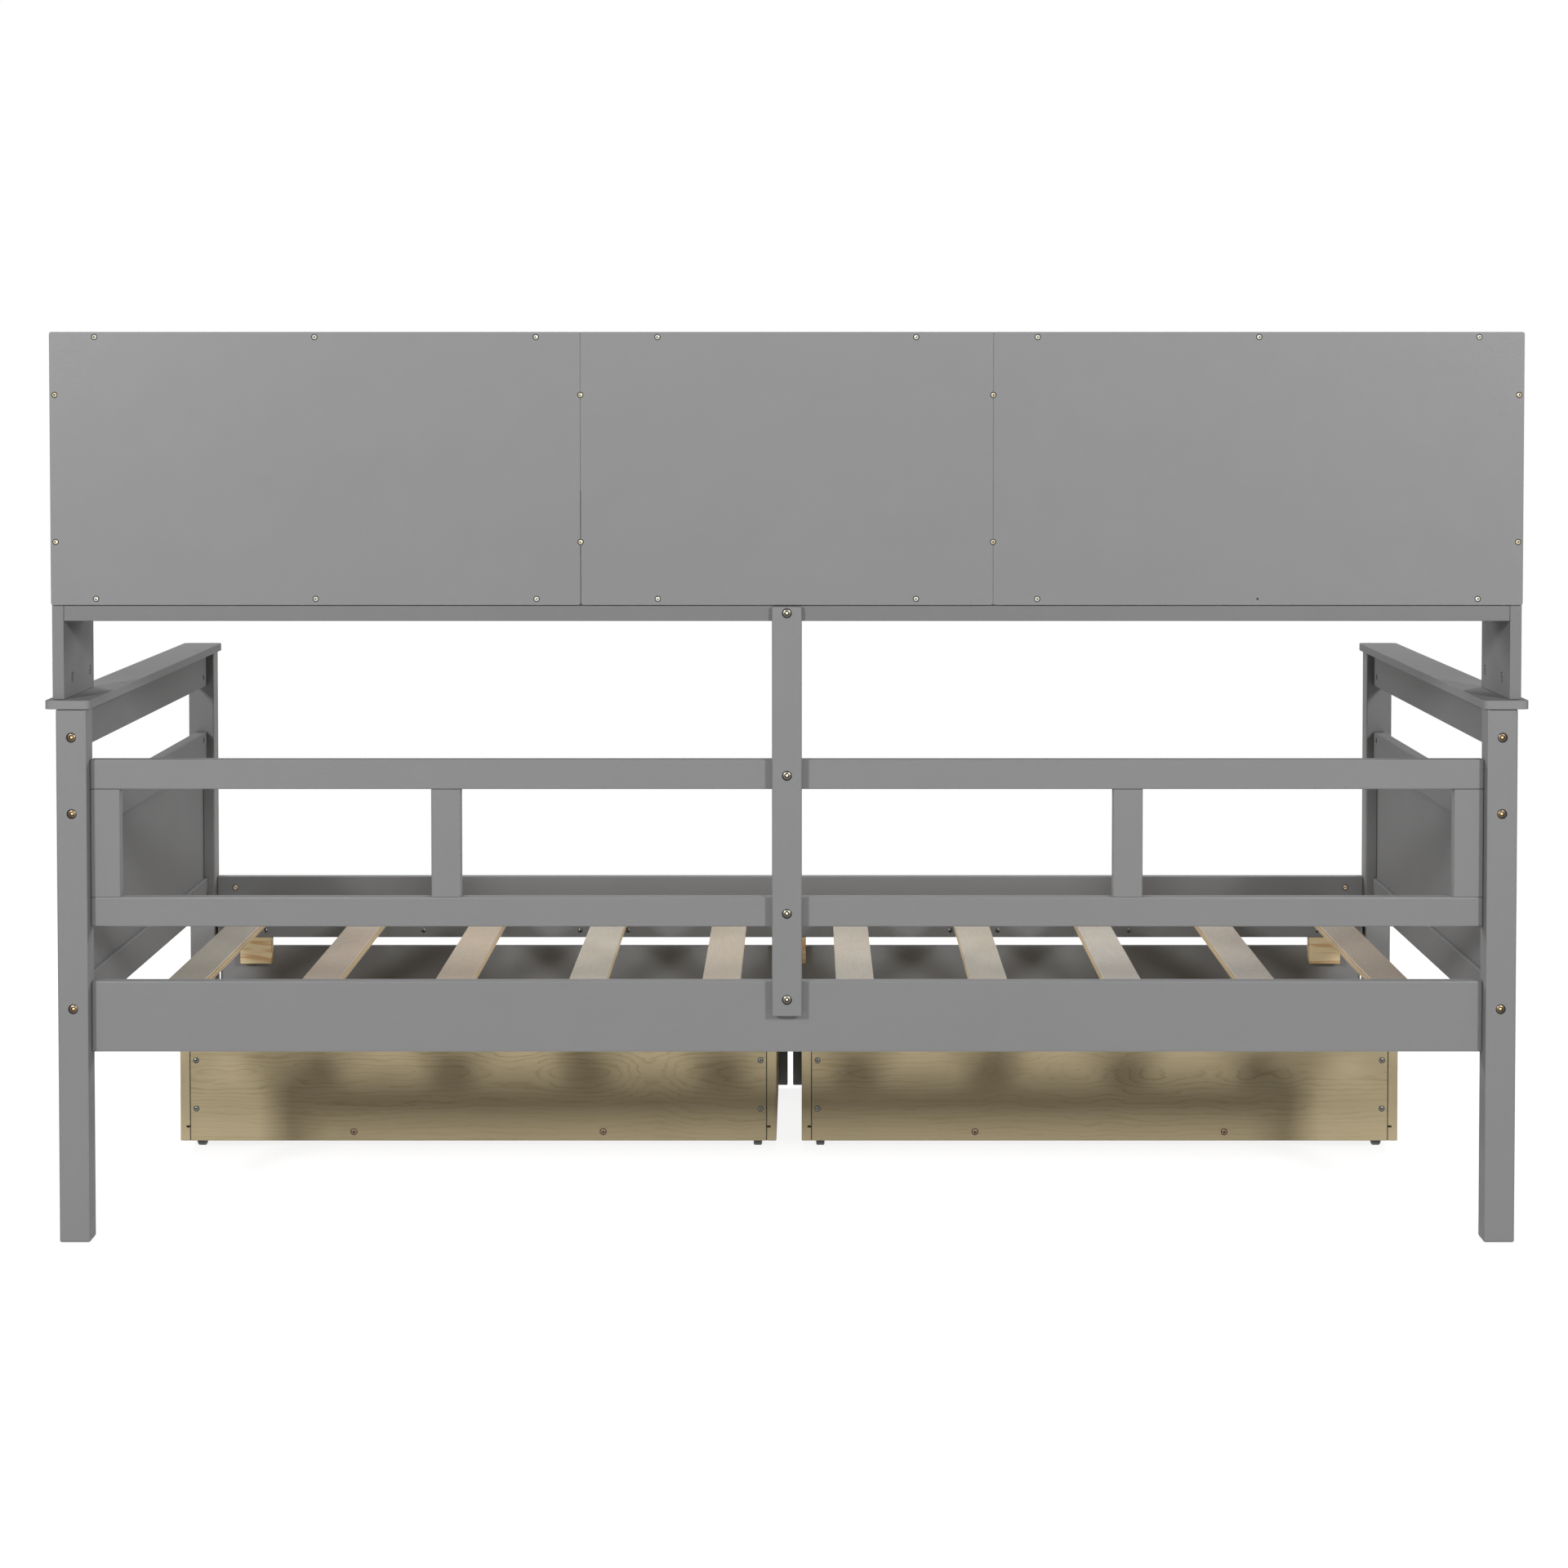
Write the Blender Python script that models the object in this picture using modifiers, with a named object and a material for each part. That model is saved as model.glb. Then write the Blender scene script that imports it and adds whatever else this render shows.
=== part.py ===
"""Storage daybed: a panelled daybed frame with a storage hutch over its back and two rolling drawers.

Metres, +Z up. The front faces -Y and +X is to the right as seen from the front. The origin is on
the floor, in the middle of the overall box.
"""
import math

import bmesh
import bpy
from mathutils import Vector

# Fits
SEAT_GAP = 0.0003             # between faces that touch
RUN_CLEAR = 0.0003            # between an axle and its bore, all round
CUT_OVERRUN = 0.002           # how far a cutter passes the face that it starts from
FUSE_DEPTH = 0.001            # how far a fused piece sinks into its carrier

# Bed frame
INSIDE_LENGTH = 1.918         # between the posts, room for a 75 inch mattress
FRAME_DEPTH = 1.070           # over the posts
POST_SIDE = 0.042
POST_HEIGHT = 0.736
POST_ROUND = 0.0025
RAIL_ROUND = 0.0018

# Arms
CAP_THICK = 0.012
CAP_OVER_OUT = 0.0145
CAP_OVER_IN = 0.006
CAP_OVER_FRONT = 0.006
CAP_OVER_REAR = 0.005
CAP_CORNER = 0.009
CAP_ROUND = 0.0025
ARM_RAIL_THICK = 0.018
ARM_TOP_RAIL_HEIGHT = 0.056
ARM_OPEN_HEIGHT = 0.076       # gap between the top and the middle rail
ARM_MID_RAIL_HEIGHT = 0.051
ARM_LOW_RAIL_HEIGHT = 0.0515
ARM_LOW_RAIL_BOTTOM = 0.308
ARM_PANEL_THICK = 0.006
ARM_PANEL_TONGUE = 0.007      # how far the panel enters each rail
ARM_PANEL_END_CLEAR = 0.002   # between the panel and the posts

# Back guard
GUARD_SETBACK = 0.020         # from the rear of the posts to the rear of the rails
GUARD_DROP = 0.071            # from the top of the posts to the top of the guard
GUARD_LOW_SPACE = 0.0755       # open gap between the side rail and the guard
GUARD_THICK = 0.020
GUARD_RAIL_HEIGHT = 0.041
STILE_WIDTH = 0.041
STRAP_WIDTH = 0.041
STRAP_THICK = 0.0194
STRAP_LOW_LAP = 0.0455        # how far the strap reaches down over the side rail
STRAP_TOP_CLEAR = 0.002       # below the hutch's back panels

# Side rails and slats
SIDE_RAIL_BOTTOM = 0.2605
SIDE_RAIL_HEIGHT = 0.098
SIDE_RAIL_THICK = 0.020
FRONT_SETBACK = 0.002         # from the front of the posts to the front rail and the drawer fronts
CLEAT_THICK = 0.0197
CLEAT_HEIGHT = 0.0375
CLEAT_DROP = 0.001            # below the side rail's lower edge
CLEAT_END_CLEAR = 0.004
SLAT_COUNT = 10
SLAT_WIDTH = 0.055
SLAT_THICK = 0.012
SLAT_END_SPACE = 0.0495       # between a post and the first slat
SLAT_RAIL_CLEAR = 0.002       # between a slat's end and the side rail
SLAT_ROUND = 0.001
STOP_WIDTH = 0.052
STOP_HEIGHT = 0.0452
STOP_END_SPACE = 0.041        # between a post and the outer stop block
STOP_ROUND = 0.0015

# Bolts: counterbored heads in the posts and barrel nuts in the rails
BOLT_POCKET_RADIUS = 0.007
BOLT_POCKET_DEPTH = 0.006
BARREL_RADIUS = 0.005
BARREL_DEPTH = 0.012
BARREL_INSET = 0.030          # from a rail's end to its barrel nut
TOP_BOLT_DROP = 0.039         # below the top of the post
MID_BOLT_DROP = 0.012         # below the top of the middle rail
LOW_BOLT_RISE = 0.015         # above the bottom of the lower rail
SIDE_BOLT_DROP = 0.0185       # below the top of the side rail
STRAP_BOLT_DROP = 0.009       # below the top of the strap
HOLE_SIDES = 16

# Hutch
HUTCH_DEPTH = 0.200
HUTCH_REAR_INSET = 0.0105     # from the rear of the posts to the rear edges of the boards
HUTCH_OUTSET = 0.006          # how far the side boards stand outside the posts
HUTCH_SIDE_THICK = 0.016
HUTCH_BOARD = 0.015
HUTCH_LEG_HEIGHT = 0.130      # between the arm cap and the bottom board
CUBBY_HEIGHT = 0.343
CENTRE_CUBBY_WIDTH = 0.549
HUTCH_ROUND = 0.001
BACK_PANEL_THICK = 0.005
BACK_PANEL_SEAM = 0.0008
BACK_PANEL_CORNER = 0.003
BACK_PANEL_ROUND = 0.0006
HUTCH_RAIL_HEIGHT = 0.022
HUTCH_RAIL_THICK = 0.018
CAM_RADIUS = 0.0075
CAM_DEPTH = 0.011
CAM_RISE = 0.0265             # above the foot of the side board
CAM_REAR_INSET = 0.054        # from the rear edge to the first cam
CAM_SPACING = 0.120

# Drawers
DRAWER_FLOOR_CLEAR = 0.006
DRAWER_TOP_CLEAR = 0.0195     # between a drawer front and the front rail
DRAWER_POST_CLEAR = 0.004
DRAWER_MID_CLEAR = 0.009      # between the two fronts
DRAWER_FRONT_THICK = 0.015
DRAWER_FRONT_LAP = 0.015      # how far the front passes the box at each end
DRAWER_BOARD = 0.015
DRAWER_BOX_HEIGHT = 0.155
DRAWER_BOX_DEPTH = 0.463
DRAWER_ROUND = 0.001
BOTTOM_THICK = 0.003
BOTTOM_RISE = 0.0205          # from the box's lower edge to the bottom panel
GROOVE_DEPTH = 0.006
GROOVE_END_CLEAR = 0.0005
BATTEN_WIDTH = 0.030
BATTEN_HEIGHT = 0.018
BATTEN_SPACING = 0.385
KNOB_SPACING = 0.440
KNOB_RADIUS = 0.016
KNOB_NECK_RADIUS = 0.0075
KNOB_REACH = 0.026
KNOB_HEAD = 0.012             # thickness of the knob's head
KNOB_CROWN = 0.004            # how far the head's face is domed

# Casters
WHEEL_RADIUS = 0.0145
WHEEL_WIDTH = 0.013
WHEEL_SHOULDER = 0.0015       # rounding of the tread's edges
WHEEL_DISH = 0.0015           # how deep the wheel's sides are dished
WHEEL_RIM = 0.0035            # rim left outside the dish
WHEEL_HUB_RADIUS = 0.0055
WHEEL_STEPS = 24
AXLE_RADIUS = 0.0025
WHEEL_SIDE_SPACE = 0.0075     # from the side board to the wheel
WHEEL_END_CLEAR = 0.0015      # from the front or back board to the wheel
WHEEL_TOP_CLEAR = 0.0025
FORK_PLATE_THICK = 0.002
FORK_PLATE_WIDTH = 0.026
FORK_CHEEK_THICK = 0.002
FORK_CHEEK_CLEAR = 0.0008
FORK_CHEEK_RADIUS = 0.006

# Smoothness of the rounded shapes
ROUND_SEGMENTS = 2
CORNER_STEPS = 4
KNOB_STEPS = 20
CHEEK_STEPS = 8
MERGE_DISTANCE = 0.00002
SHARP_ANGLE = math.radians(35)

# Colours as red, green, blue, then roughness and metallic
GREY_PAINT = ((0.270, 0.270, 0.272), 0.42, 0.0)
PALE_SLAT = ((0.520, 0.440, 0.340), 0.65, 0.0)
MAPLE_FOIL = ((0.420, 0.345, 0.205), 0.50, 0.0)
PANEL_CORE = ((0.460, 0.390, 0.260), 0.60, 0.0)
DARK_PLASTIC = ((0.030, 0.030, 0.032), 0.45, 0.0)

SIDES = (("left", -1), ("right", 1))
ENDS = (("front", -1), ("rear", 1))

# Places worked out from the sizes above
post_in = INSIDE_LENGTH / 2
post_out = post_in + POST_SIDE
post_mid = post_in + POST_SIDE / 2
frame_rear = FRAME_DEPTH / 2
frame_front = -frame_rear
post_depth_in = frame_rear - POST_SIDE
guard_rear = frame_rear - GUARD_SETBACK
front_face = frame_front + FRONT_SETBACK
cap_bottom = POST_HEIGHT + SEAT_GAP
cap_top = cap_bottom + CAP_THICK
side_rail_top = SIDE_RAIL_BOTTOM + SIDE_RAIL_HEIGHT
cleat_bottom = SIDE_RAIL_BOTTOM - CLEAT_DROP
slat_bottom = cleat_bottom + CLEAT_HEIGHT + SEAT_GAP
arm_top_bottom = POST_HEIGHT - ARM_TOP_RAIL_HEIGHT
arm_mid_top = arm_top_bottom - ARM_OPEN_HEIGHT
arm_low_top = ARM_LOW_RAIL_BOTTOM + ARM_LOW_RAIL_HEIGHT
side_bolt_height = side_rail_top - SIDE_BOLT_DROP
arm_bolt_heights = (POST_HEIGHT - TOP_BOLT_DROP,
                    arm_mid_top - MID_BOLT_DROP,
                    ARM_LOW_RAIL_BOTTOM + LOW_BOLT_RISE)
hutch_foot = cap_top + SEAT_GAP
hutch_rear = frame_rear - HUTCH_REAR_INSET
hutch_front = hutch_rear - HUTCH_DEPTH
hutch_out = post_out + HUTCH_OUTSET
hutch_in = hutch_out - HUTCH_SIDE_THICK
hutch_floor = hutch_foot + HUTCH_LEG_HEIGHT
hutch_rail_bottom = hutch_floor - SEAT_GAP - HUTCH_RAIL_HEIGHT
cubby_floor = hutch_floor + HUTCH_BOARD
cubby_top = cubby_floor + CUBBY_HEIGHT
divider_mid = CENTRE_CUBBY_WIDTH / 2 + HUTCH_BOARD / 2
fronts_rear = front_face + DRAWER_FRONT_THICK
box_front = fronts_rear + SEAT_GAP
box_rear = box_front + DRAWER_BOX_DEPTH
bottom_low = 2 * WHEEL_RADIUS + WHEEL_TOP_CLEAR + FORK_PLATE_THICK
box_low = bottom_low - BOTTOM_RISE
knob_tip = front_face - KNOB_REACH
row_shift = -(min(knob_tip, frame_front - CAP_OVER_FRONT) + frame_rear + CAP_OVER_REAR) / 2


def start_scene():
    for old in list(bpy.data.objects):
        bpy.data.objects.remove(old, do_unlink=True)
    groups = {}
    for key, title in (("parts", "Storage daybed"), ("tools", "Cutters")):
        groups[key] = bpy.data.collections.new(title)
        bpy.context.scene.collection.children.link(groups[key])
    return groups


def make_material(name, look):
    colour, roughness, metallic = look
    material = bpy.data.materials.new(name)
    material.use_nodes = True
    shader = material.node_tree.nodes["Principled BSDF"]
    shader.inputs["Base Color"].default_value = (*colour, 1.0)
    shader.inputs["Roughness"].default_value = roughness
    shader.inputs["Metallic"].default_value = metallic
    return material


collections = start_scene()
places = {}


def add_carrier(name, place, parent=None):
    """An empty that carries pieces. Its place is given in the frame's own coordinates."""
    carrier = bpy.data.objects.new(name, None)
    collections["parts"].objects.link(carrier)
    places[name] = Vector(place)
    carrier.location = places[name]
    if parent:
        carrier.parent = parent
        carrier.location = places[name] - places[parent.name]
    return carrier


def hang(piece, carrier, place):
    piece.parent = carrier
    piece.location = Vector(place) - places[carrier.name]


def add_mesh(name, mesh, look):
    piece = bpy.data.objects.new(name, mesh)
    mesh.materials.append(make_material(name + "_finish", look))
    collections["parts"].objects.link(piece)
    return piece


def round_edges(piece, radius, segments=ROUND_SEGMENTS):
    bevel = piece.modifiers.new("Rounded edges", "BEVEL")
    bevel.width = radius
    bevel.segments = segments
    bevel.limit_method = "ANGLE"
    bevel.angle_limit = SHARP_ANGLE
    return bevel


def mirrored(span, side):
    return tuple(sorted((side * span[0], side * span[1])))


def around(middle, size):
    return (middle - size / 2, middle + size / 2)


def box_mesh(name, sizes):
    shape = bmesh.new()
    bmesh.ops.create_cube(shape, size=1)
    bmesh.ops.scale(shape, vec=sizes, verts=shape.verts)
    mesh = bpy.data.meshes.new(name)
    shape.to_mesh(mesh)
    shape.free()
    return mesh


def board(name, carrier, spans, look, radius=RAIL_ROUND, segments=ROUND_SEGMENTS):
    """A squared board between its low and high limits along X, Y and Z."""
    sizes = [high - low for low, high in spans]
    piece = add_mesh(name, box_mesh(name, sizes), look)
    hang(piece, carrier, [(low + high) / 2 for low, high in spans])
    if radius:
        round_edges(piece, radius, segments)
    return piece


def flat_shape(name, carrier, outline, thickness, look):
    """A flat outline in the piece's own XY plane, with its thickness centred on that plane."""
    curve = bpy.data.curves.new(name, "CURVE")
    curve.dimensions = "2D"
    curve.fill_mode = "BOTH"
    curve.extrude = thickness / 2
    spline = curve.splines.new("POLY")
    spline.points.add(len(outline) - 1)
    for point, (across, up) in zip(spline.points, outline):
        point.co = (across, up, 0, 1)
    spline.use_cyclic_u = True
    source = bpy.data.objects.new(name + "_outline", curve)
    collections["tools"].objects.link(source)
    bpy.context.view_layer.update()
    graph = bpy.context.evaluated_depsgraph_get()
    mesh = bpy.data.meshes.new_from_object(source.evaluated_get(graph))
    bpy.data.objects.remove(source, do_unlink=True)
    shape = bmesh.new()
    shape.from_mesh(mesh)
    bmesh.ops.remove_doubles(shape, verts=shape.verts, dist=MERGE_DISTANCE)
    bmesh.ops.recalc_face_normals(shape, faces=shape.faces)
    shape.to_mesh(mesh)
    shape.free()
    mesh.materials.clear()
    piece = add_mesh(name, mesh, look)
    hang(piece, carrier, places[carrier.name])
    return piece


def rounded_rectangle(width, height, radii, steps=CORNER_STEPS):
    """Corner radii run counterclockwise from the corner at high X and high Y."""
    outline = []
    for quarter, radius in enumerate(radii):
        sign_x = 1 if quarter in (0, 3) else -1
        sign_y = 1 if quarter in (0, 1) else -1
        centre_x = sign_x * (width / 2 - radius)
        centre_y = sign_y * (height / 2 - radius)
        for step in range(steps + 1):
            angle = math.radians(90) * (quarter + step / steps)
            outline.append((centre_x + radius * math.cos(angle), centre_y + radius * math.sin(angle)))
    return outline


def make_tool(tool):
    """Moves a helper shape to the cutters, where it is left out of the model."""
    collections["parts"].objects.unlink(tool)
    collections["tools"].objects.link(tool)
    tool.hide_render = True
    tool.display_type = "WIRE"
    return tool


def combine(piece, tool, operation):
    make_tool(tool)
    cut = piece.modifiers.new(operation.title() + " " + tool.name, "BOOLEAN")
    cut.operation = operation
    cut.solver = "EXACT"
    cut.object = tool


def round_bar(name, carrier, start, axis, radius, length, look, sides=HOLE_SIDES):
    """A round bar from a start point along a unit axis."""
    shape = bmesh.new()
    bmesh.ops.create_cone(shape, cap_ends=True, cap_tris=False, segments=sides,
                          radius1=radius, radius2=radius, depth=length)
    mesh = bpy.data.meshes.new(name)
    shape.to_mesh(mesh)
    shape.free()
    bar = add_mesh(name, mesh, look)
    direction = Vector(axis)
    hang(bar, carrier, Vector(start) + direction * (length / 2))
    bar.rotation_euler = direction.to_track_quat("Z", "Y").to_euler()
    return bar


def drill(piece, carrier, mouth, axis, radius, depth):
    """A blind round hole from its mouth on a face, along an axis that points into the piece."""
    start = Vector(mouth) - Vector(axis) * CUT_OVERRUN
    name = piece.name + "_hole_" + str(len(piece.modifiers))
    tool = round_bar(name, carrier, start, axis, radius, depth + CUT_OVERRUN, GREY_PAINT)
    combine(piece, tool, "DIFFERENCE")


def cut_slot(piece, carrier, spans):
    name = piece.name + "_slot_" + str(len(piece.modifiers))
    combine(piece, board(name, carrier, spans, GREY_PAINT, radius=0), "DIFFERENCE")


def past(span):
    return (span[0] - CUT_OVERRUN, span[1] + CUT_OVERRUN)


def turned(name, carrier, profile, steps, closed, look):
    """A profile of (radius, height) points turned about the piece's own Z axis."""
    mesh = bpy.data.meshes.new(name)
    shape = bmesh.new()
    corners = [shape.verts.new((radius, 0, height)) for radius, height in profile]
    for first, second in zip(corners, corners[1:]):
        shape.edges.new((first, second))
    if closed:
        shape.edges.new((corners[-1], corners[0]))
    shape.to_mesh(mesh)
    shape.free()
    piece = add_mesh(name, mesh, look)
    screw = piece.modifiers.new("Turned", "SCREW")
    screw.steps = steps
    screw.render_steps = steps
    screw.use_merge_vertices = True
    screw.merge_threshold = MERGE_DISTANCE
    screw.use_smooth_shade = True
    hang(piece, carrier, places[carrier.name])
    return piece


def add_posts(frame):
    for end_name, end in ENDS:
        for side_name, side in SIDES:
            spans = (mirrored((post_in, post_out), side),
                     mirrored((post_depth_in, frame_rear), end),
                     (0, POST_HEIGHT))
            post = board("post_" + end_name + "_" + side_name, frame, spans, GREY_PAINT, POST_ROUND)
            for height in arm_bolt_heights:
                drill(post, frame, (side * post_mid, end * frame_rear, height), (0, -end, 0),
                      BOLT_POCKET_RADIUS, BOLT_POCKET_DEPTH)
            rail_middle = {1: guard_rear - SIDE_RAIL_THICK / 2, -1: front_face + SIDE_RAIL_THICK / 2}[end]
            drill(post, frame, (side * post_out, rail_middle, side_bolt_height), (-side, 0, 0),
                  BOLT_POCKET_RADIUS, BOLT_POCKET_DEPTH)


def add_arms(frame):
    rail_reach = post_depth_in - SEAT_GAP
    groove_half = ARM_PANEL_THICK / 2 + SEAT_GAP
    groove_depth = ARM_PANEL_TONGUE + SEAT_GAP
    for side_name, side in SIDES:
        across = mirrored(around(post_mid, ARM_RAIL_THICK), side)
        groove = (side * post_mid - groove_half, side * post_mid + groove_half)
        along = (-rail_reach, rail_reach)
        top_rail = board("arm_top_rail_" + side_name, frame,
                         (across, along, (arm_top_bottom, POST_HEIGHT)), GREY_PAINT)
        mid_bottom = arm_mid_top - ARM_MID_RAIL_HEIGHT
        mid_rail = board("arm_middle_rail_" + side_name, frame,
                         (across, along, (mid_bottom, arm_mid_top)), GREY_PAINT)
        cut_slot(mid_rail, frame, (groove, past(along), (mid_bottom - CUT_OVERRUN, mid_bottom + groove_depth)))
        low_rail = board("arm_lower_rail_" + side_name, frame,
                         (across, along, (ARM_LOW_RAIL_BOTTOM, arm_low_top)), GREY_PAINT)
        cut_slot(low_rail, frame, (groove, past(along), (arm_low_top - groove_depth, arm_low_top + CUT_OVERRUN)))
        for rail, height in zip((top_rail, mid_rail, low_rail), arm_bolt_heights):
            for end in (-1, 1):
                mouth = (side * (post_mid - ARM_RAIL_THICK / 2), end * (rail_reach - BARREL_INSET), height)
                drill(rail, frame, mouth, (side, 0, 0), BARREL_RADIUS, BARREL_DEPTH)
        panel_reach = rail_reach - ARM_PANEL_END_CLEAR
        board("arm_panel_" + side_name, frame,
              (around(side * post_mid, ARM_PANEL_THICK),
               (-panel_reach, panel_reach),
               (arm_low_top - ARM_PANEL_TONGUE, mid_bottom + ARM_PANEL_TONGUE)),
              GREY_PAINT, radius=0)
        add_cap(frame, side_name, side)


def add_cap(frame, side_name, side):
    across = mirrored((post_in - CAP_OVER_IN, post_out + CAP_OVER_OUT), side)
    along = (frame_front - CAP_OVER_FRONT, frame_rear + CAP_OVER_REAR)
    outline = rounded_rectangle(across[1] - across[0], along[1] - along[0], (CAP_CORNER,) * 4)
    cap = flat_shape("arm_cap_" + side_name, frame, outline, CAP_THICK, GREY_PAINT)
    hang(cap, frame, (sum(across) / 2, sum(along) / 2, cap_bottom + CAP_THICK / 2))
    round_edges(cap, CAP_ROUND)


def add_back_guard(frame):
    reach = post_in - SEAT_GAP
    deep = (guard_rear - GUARD_THICK, guard_rear)
    guard_top = POST_HEIGHT - GUARD_DROP
    guard_bottom = side_rail_top + GUARD_LOW_SPACE
    upper_bottom = guard_top - GUARD_RAIL_HEIGHT
    lower_top = guard_bottom + GUARD_RAIL_HEIGHT
    board("back_top_rail", frame, ((-reach, reach), deep, (upper_bottom, guard_top)), GREY_PAINT)
    lower = board("back_lower_rail_and_stiles", frame, ((-reach, reach), deep, (guard_bottom, lower_top)),
                  GREY_PAINT)
    end_stile = reach - STILE_WIDTH / 2
    for number, middle in enumerate((-end_stile, -end_stile / 2, end_stile / 2, end_stile)):
        stile = board("stile_" + str(number), frame,
                      (around(middle, STILE_WIDTH), deep, (lower_top - FUSE_DEPTH - RAIL_ROUND,
                                                           upper_bottom - SEAT_GAP)),
                      GREY_PAINT)
        combine(lower, stile, "UNION")
    strap_front = guard_rear + SEAT_GAP
    strap_top = hutch_floor - STRAP_TOP_CLEAR
    strap_bottom = side_rail_top - STRAP_LOW_LAP
    strap = board("back_centre_strap", frame,
                  (around(0, STRAP_WIDTH), (strap_front, strap_front + STRAP_THICK), (strap_bottom, strap_top)),
                  GREY_PAINT)
    cut_slot(strap, frame, (past(around(0, STRAP_WIDTH)),
                            (strap_front - CUT_OVERRUN, hutch_rear + SEAT_GAP),
                            (hutch_rail_bottom - SEAT_GAP, strap_top + CUT_OVERRUN)))
    bolt_heights = (strap_top - STRAP_BOLT_DROP,
                    guard_top - GUARD_RAIL_HEIGHT / 2,
                    guard_bottom + GUARD_RAIL_HEIGHT / 2,
                    strap_bottom + STRAP_LOW_LAP / 2)
    for height in bolt_heights:
        drill(strap, frame, (0, strap_front + STRAP_THICK, height), (0, -1, 0),
              BOLT_POCKET_RADIUS, BOLT_POCKET_DEPTH)


def add_side_rails(frame):
    reach = post_in - SEAT_GAP
    high = (SIDE_RAIL_BOTTOM, side_rail_top)
    faces = {"rear": guard_rear - SIDE_RAIL_THICK, "front": front_face + SIDE_RAIL_THICK}
    for end_name, end in ENDS:
        inner = faces[end_name]
        rail = board("side_rail_" + end_name, frame,
                     ((-reach, reach), tuple(sorted((inner, inner + end * SIDE_RAIL_THICK))), high),
                     GREY_PAINT)
        for side_name, side in SIDES:
            drill(rail, frame, (side * (reach - BARREL_INSET), inner, side_bolt_height), (0, end, 0),
                  BARREL_RADIUS, BARREL_DEPTH)
        cleat_face = inner - end * SEAT_GAP
        cleat_span = tuple(sorted((cleat_face, cleat_face - end * CLEAT_THICK)))
        cleat_reach = post_in - CLEAT_END_CLEAR
        cleat = board("slat_cleat_" + end_name, frame,
                      ((-cleat_reach, cleat_reach), cleat_span, (cleat_bottom, cleat_bottom + CLEAT_HEIGHT)),
                      GREY_PAINT)
        if end_name == "front":
            add_stop_blocks(frame, cleat, cleat_span[1])


def add_stop_blocks(frame, cleat, rear_face):
    """Blocks under the front cleat that the closed drawer fronts rest against."""
    top = SIDE_RAIL_BOTTOM - SEAT_GAP
    outer = post_in - STOP_END_SPACE - STOP_WIDTH / 2
    for number, middle in enumerate((-outer, 0, outer)):
        block = board("stop_block_" + str(number), frame,
                      (around(middle, STOP_WIDTH), (fronts_rear + SEAT_GAP, rear_face), (top - STOP_HEIGHT, top)),
                      GREY_PAINT, STOP_ROUND, 1)
        combine(cleat, block, "UNION")


def add_slats(frame):
    first = -post_in + SLAT_END_SPACE + SLAT_WIDTH / 2
    pitch = -2 * first / (SLAT_COUNT - 1)
    along = (front_face + SIDE_RAIL_THICK + SLAT_RAIL_CLEAR, guard_rear - SIDE_RAIL_THICK - SLAT_RAIL_CLEAR)
    for number in range(SLAT_COUNT):
        board("slat_%02d" % (number + 1), frame,
              (around(first + number * pitch, SLAT_WIDTH), along, (slat_bottom, slat_bottom + SLAT_THICK)),
              PALE_SLAT, SLAT_ROUND, 1)


def add_hutch(frame):
    deep = (hutch_front, hutch_rear)
    inner_reach = hutch_in - SEAT_GAP
    for side_name, side in SIDES:
        side_board = board("hutch_side_" + side_name, frame,
                           (mirrored((hutch_in, hutch_out), side), deep, (hutch_foot, cubby_top)),
                           GREY_PAINT, HUTCH_ROUND)
        for number in range(2):
            cam_depth = hutch_rear - CAM_REAR_INSET - number * CAM_SPACING
            drill(side_board, frame, (side * hutch_in, cam_depth, hutch_foot + CAM_RISE), (side, 0, 0),
                  CAM_RADIUS, CAM_DEPTH)
        board("hutch_divider_" + side_name, frame,
              (around(side * divider_mid, HUTCH_BOARD), deep, (cubby_floor + SEAT_GAP, cubby_top)),
              GREY_PAINT, HUTCH_ROUND)
    board("hutch_bottom", frame, ((-inner_reach, inner_reach), deep, (hutch_floor, cubby_floor)),
          GREY_PAINT, HUTCH_ROUND)
    top_low = cubby_top + SEAT_GAP
    top_high = top_low + HUTCH_BOARD
    board("hutch_top", frame, ((-hutch_out, hutch_out), deep, (top_low, top_high)), GREY_PAINT, HUTCH_ROUND)
    board("hutch_rear_rail", frame,
          ((-inner_reach, inner_reach), (hutch_rear - HUTCH_RAIL_THICK, hutch_rear),
           (hutch_rail_bottom, hutch_floor - SEAT_GAP)),
          GREY_PAINT, HUTCH_ROUND)
    add_back_panels(frame, (hutch_floor, top_high))


def add_back_panels(frame, high):
    seam = BACK_PANEL_SEAM / 2
    plan = (("left", (-hutch_out, -divider_mid - seam)),
            ("centre", (-divider_mid + seam, divider_mid - seam)),
            ("right", (divider_mid + seam, hutch_out)))
    for name, span in plan:
        outline = rounded_rectangle(span[1] - span[0], high[1] - high[0], (BACK_PANEL_CORNER,) * 4)
        panel = flat_shape("hutch_back_" + name, frame, outline, BACK_PANEL_THICK, GREY_PAINT)
        panel.rotation_euler = (math.radians(90), 0, 0)
        hang(panel, frame, (sum(span) / 2, hutch_rear + SEAT_GAP + BACK_PANEL_THICK / 2, sum(high) / 2))
        round_edges(panel, BACK_PANEL_ROUND, 1)


def knob_profile():
    face = KNOB_REACH
    shoulder = face - KNOB_CROWN
    back = face - KNOB_HEAD
    return [(0, face),
            (KNOB_RADIUS / 2, face - KNOB_CROWN / 4),
            (KNOB_RADIUS * math.cos(math.radians(30)), face - KNOB_CROWN / 2),
            (KNOB_RADIUS, shoulder),
            (KNOB_RADIUS, (shoulder + back) / 2),
            (KNOB_NECK_RADIUS, back),
            (KNOB_NECK_RADIUS, -FUSE_DEPTH),
            (0, -FUSE_DEPTH)]


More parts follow.
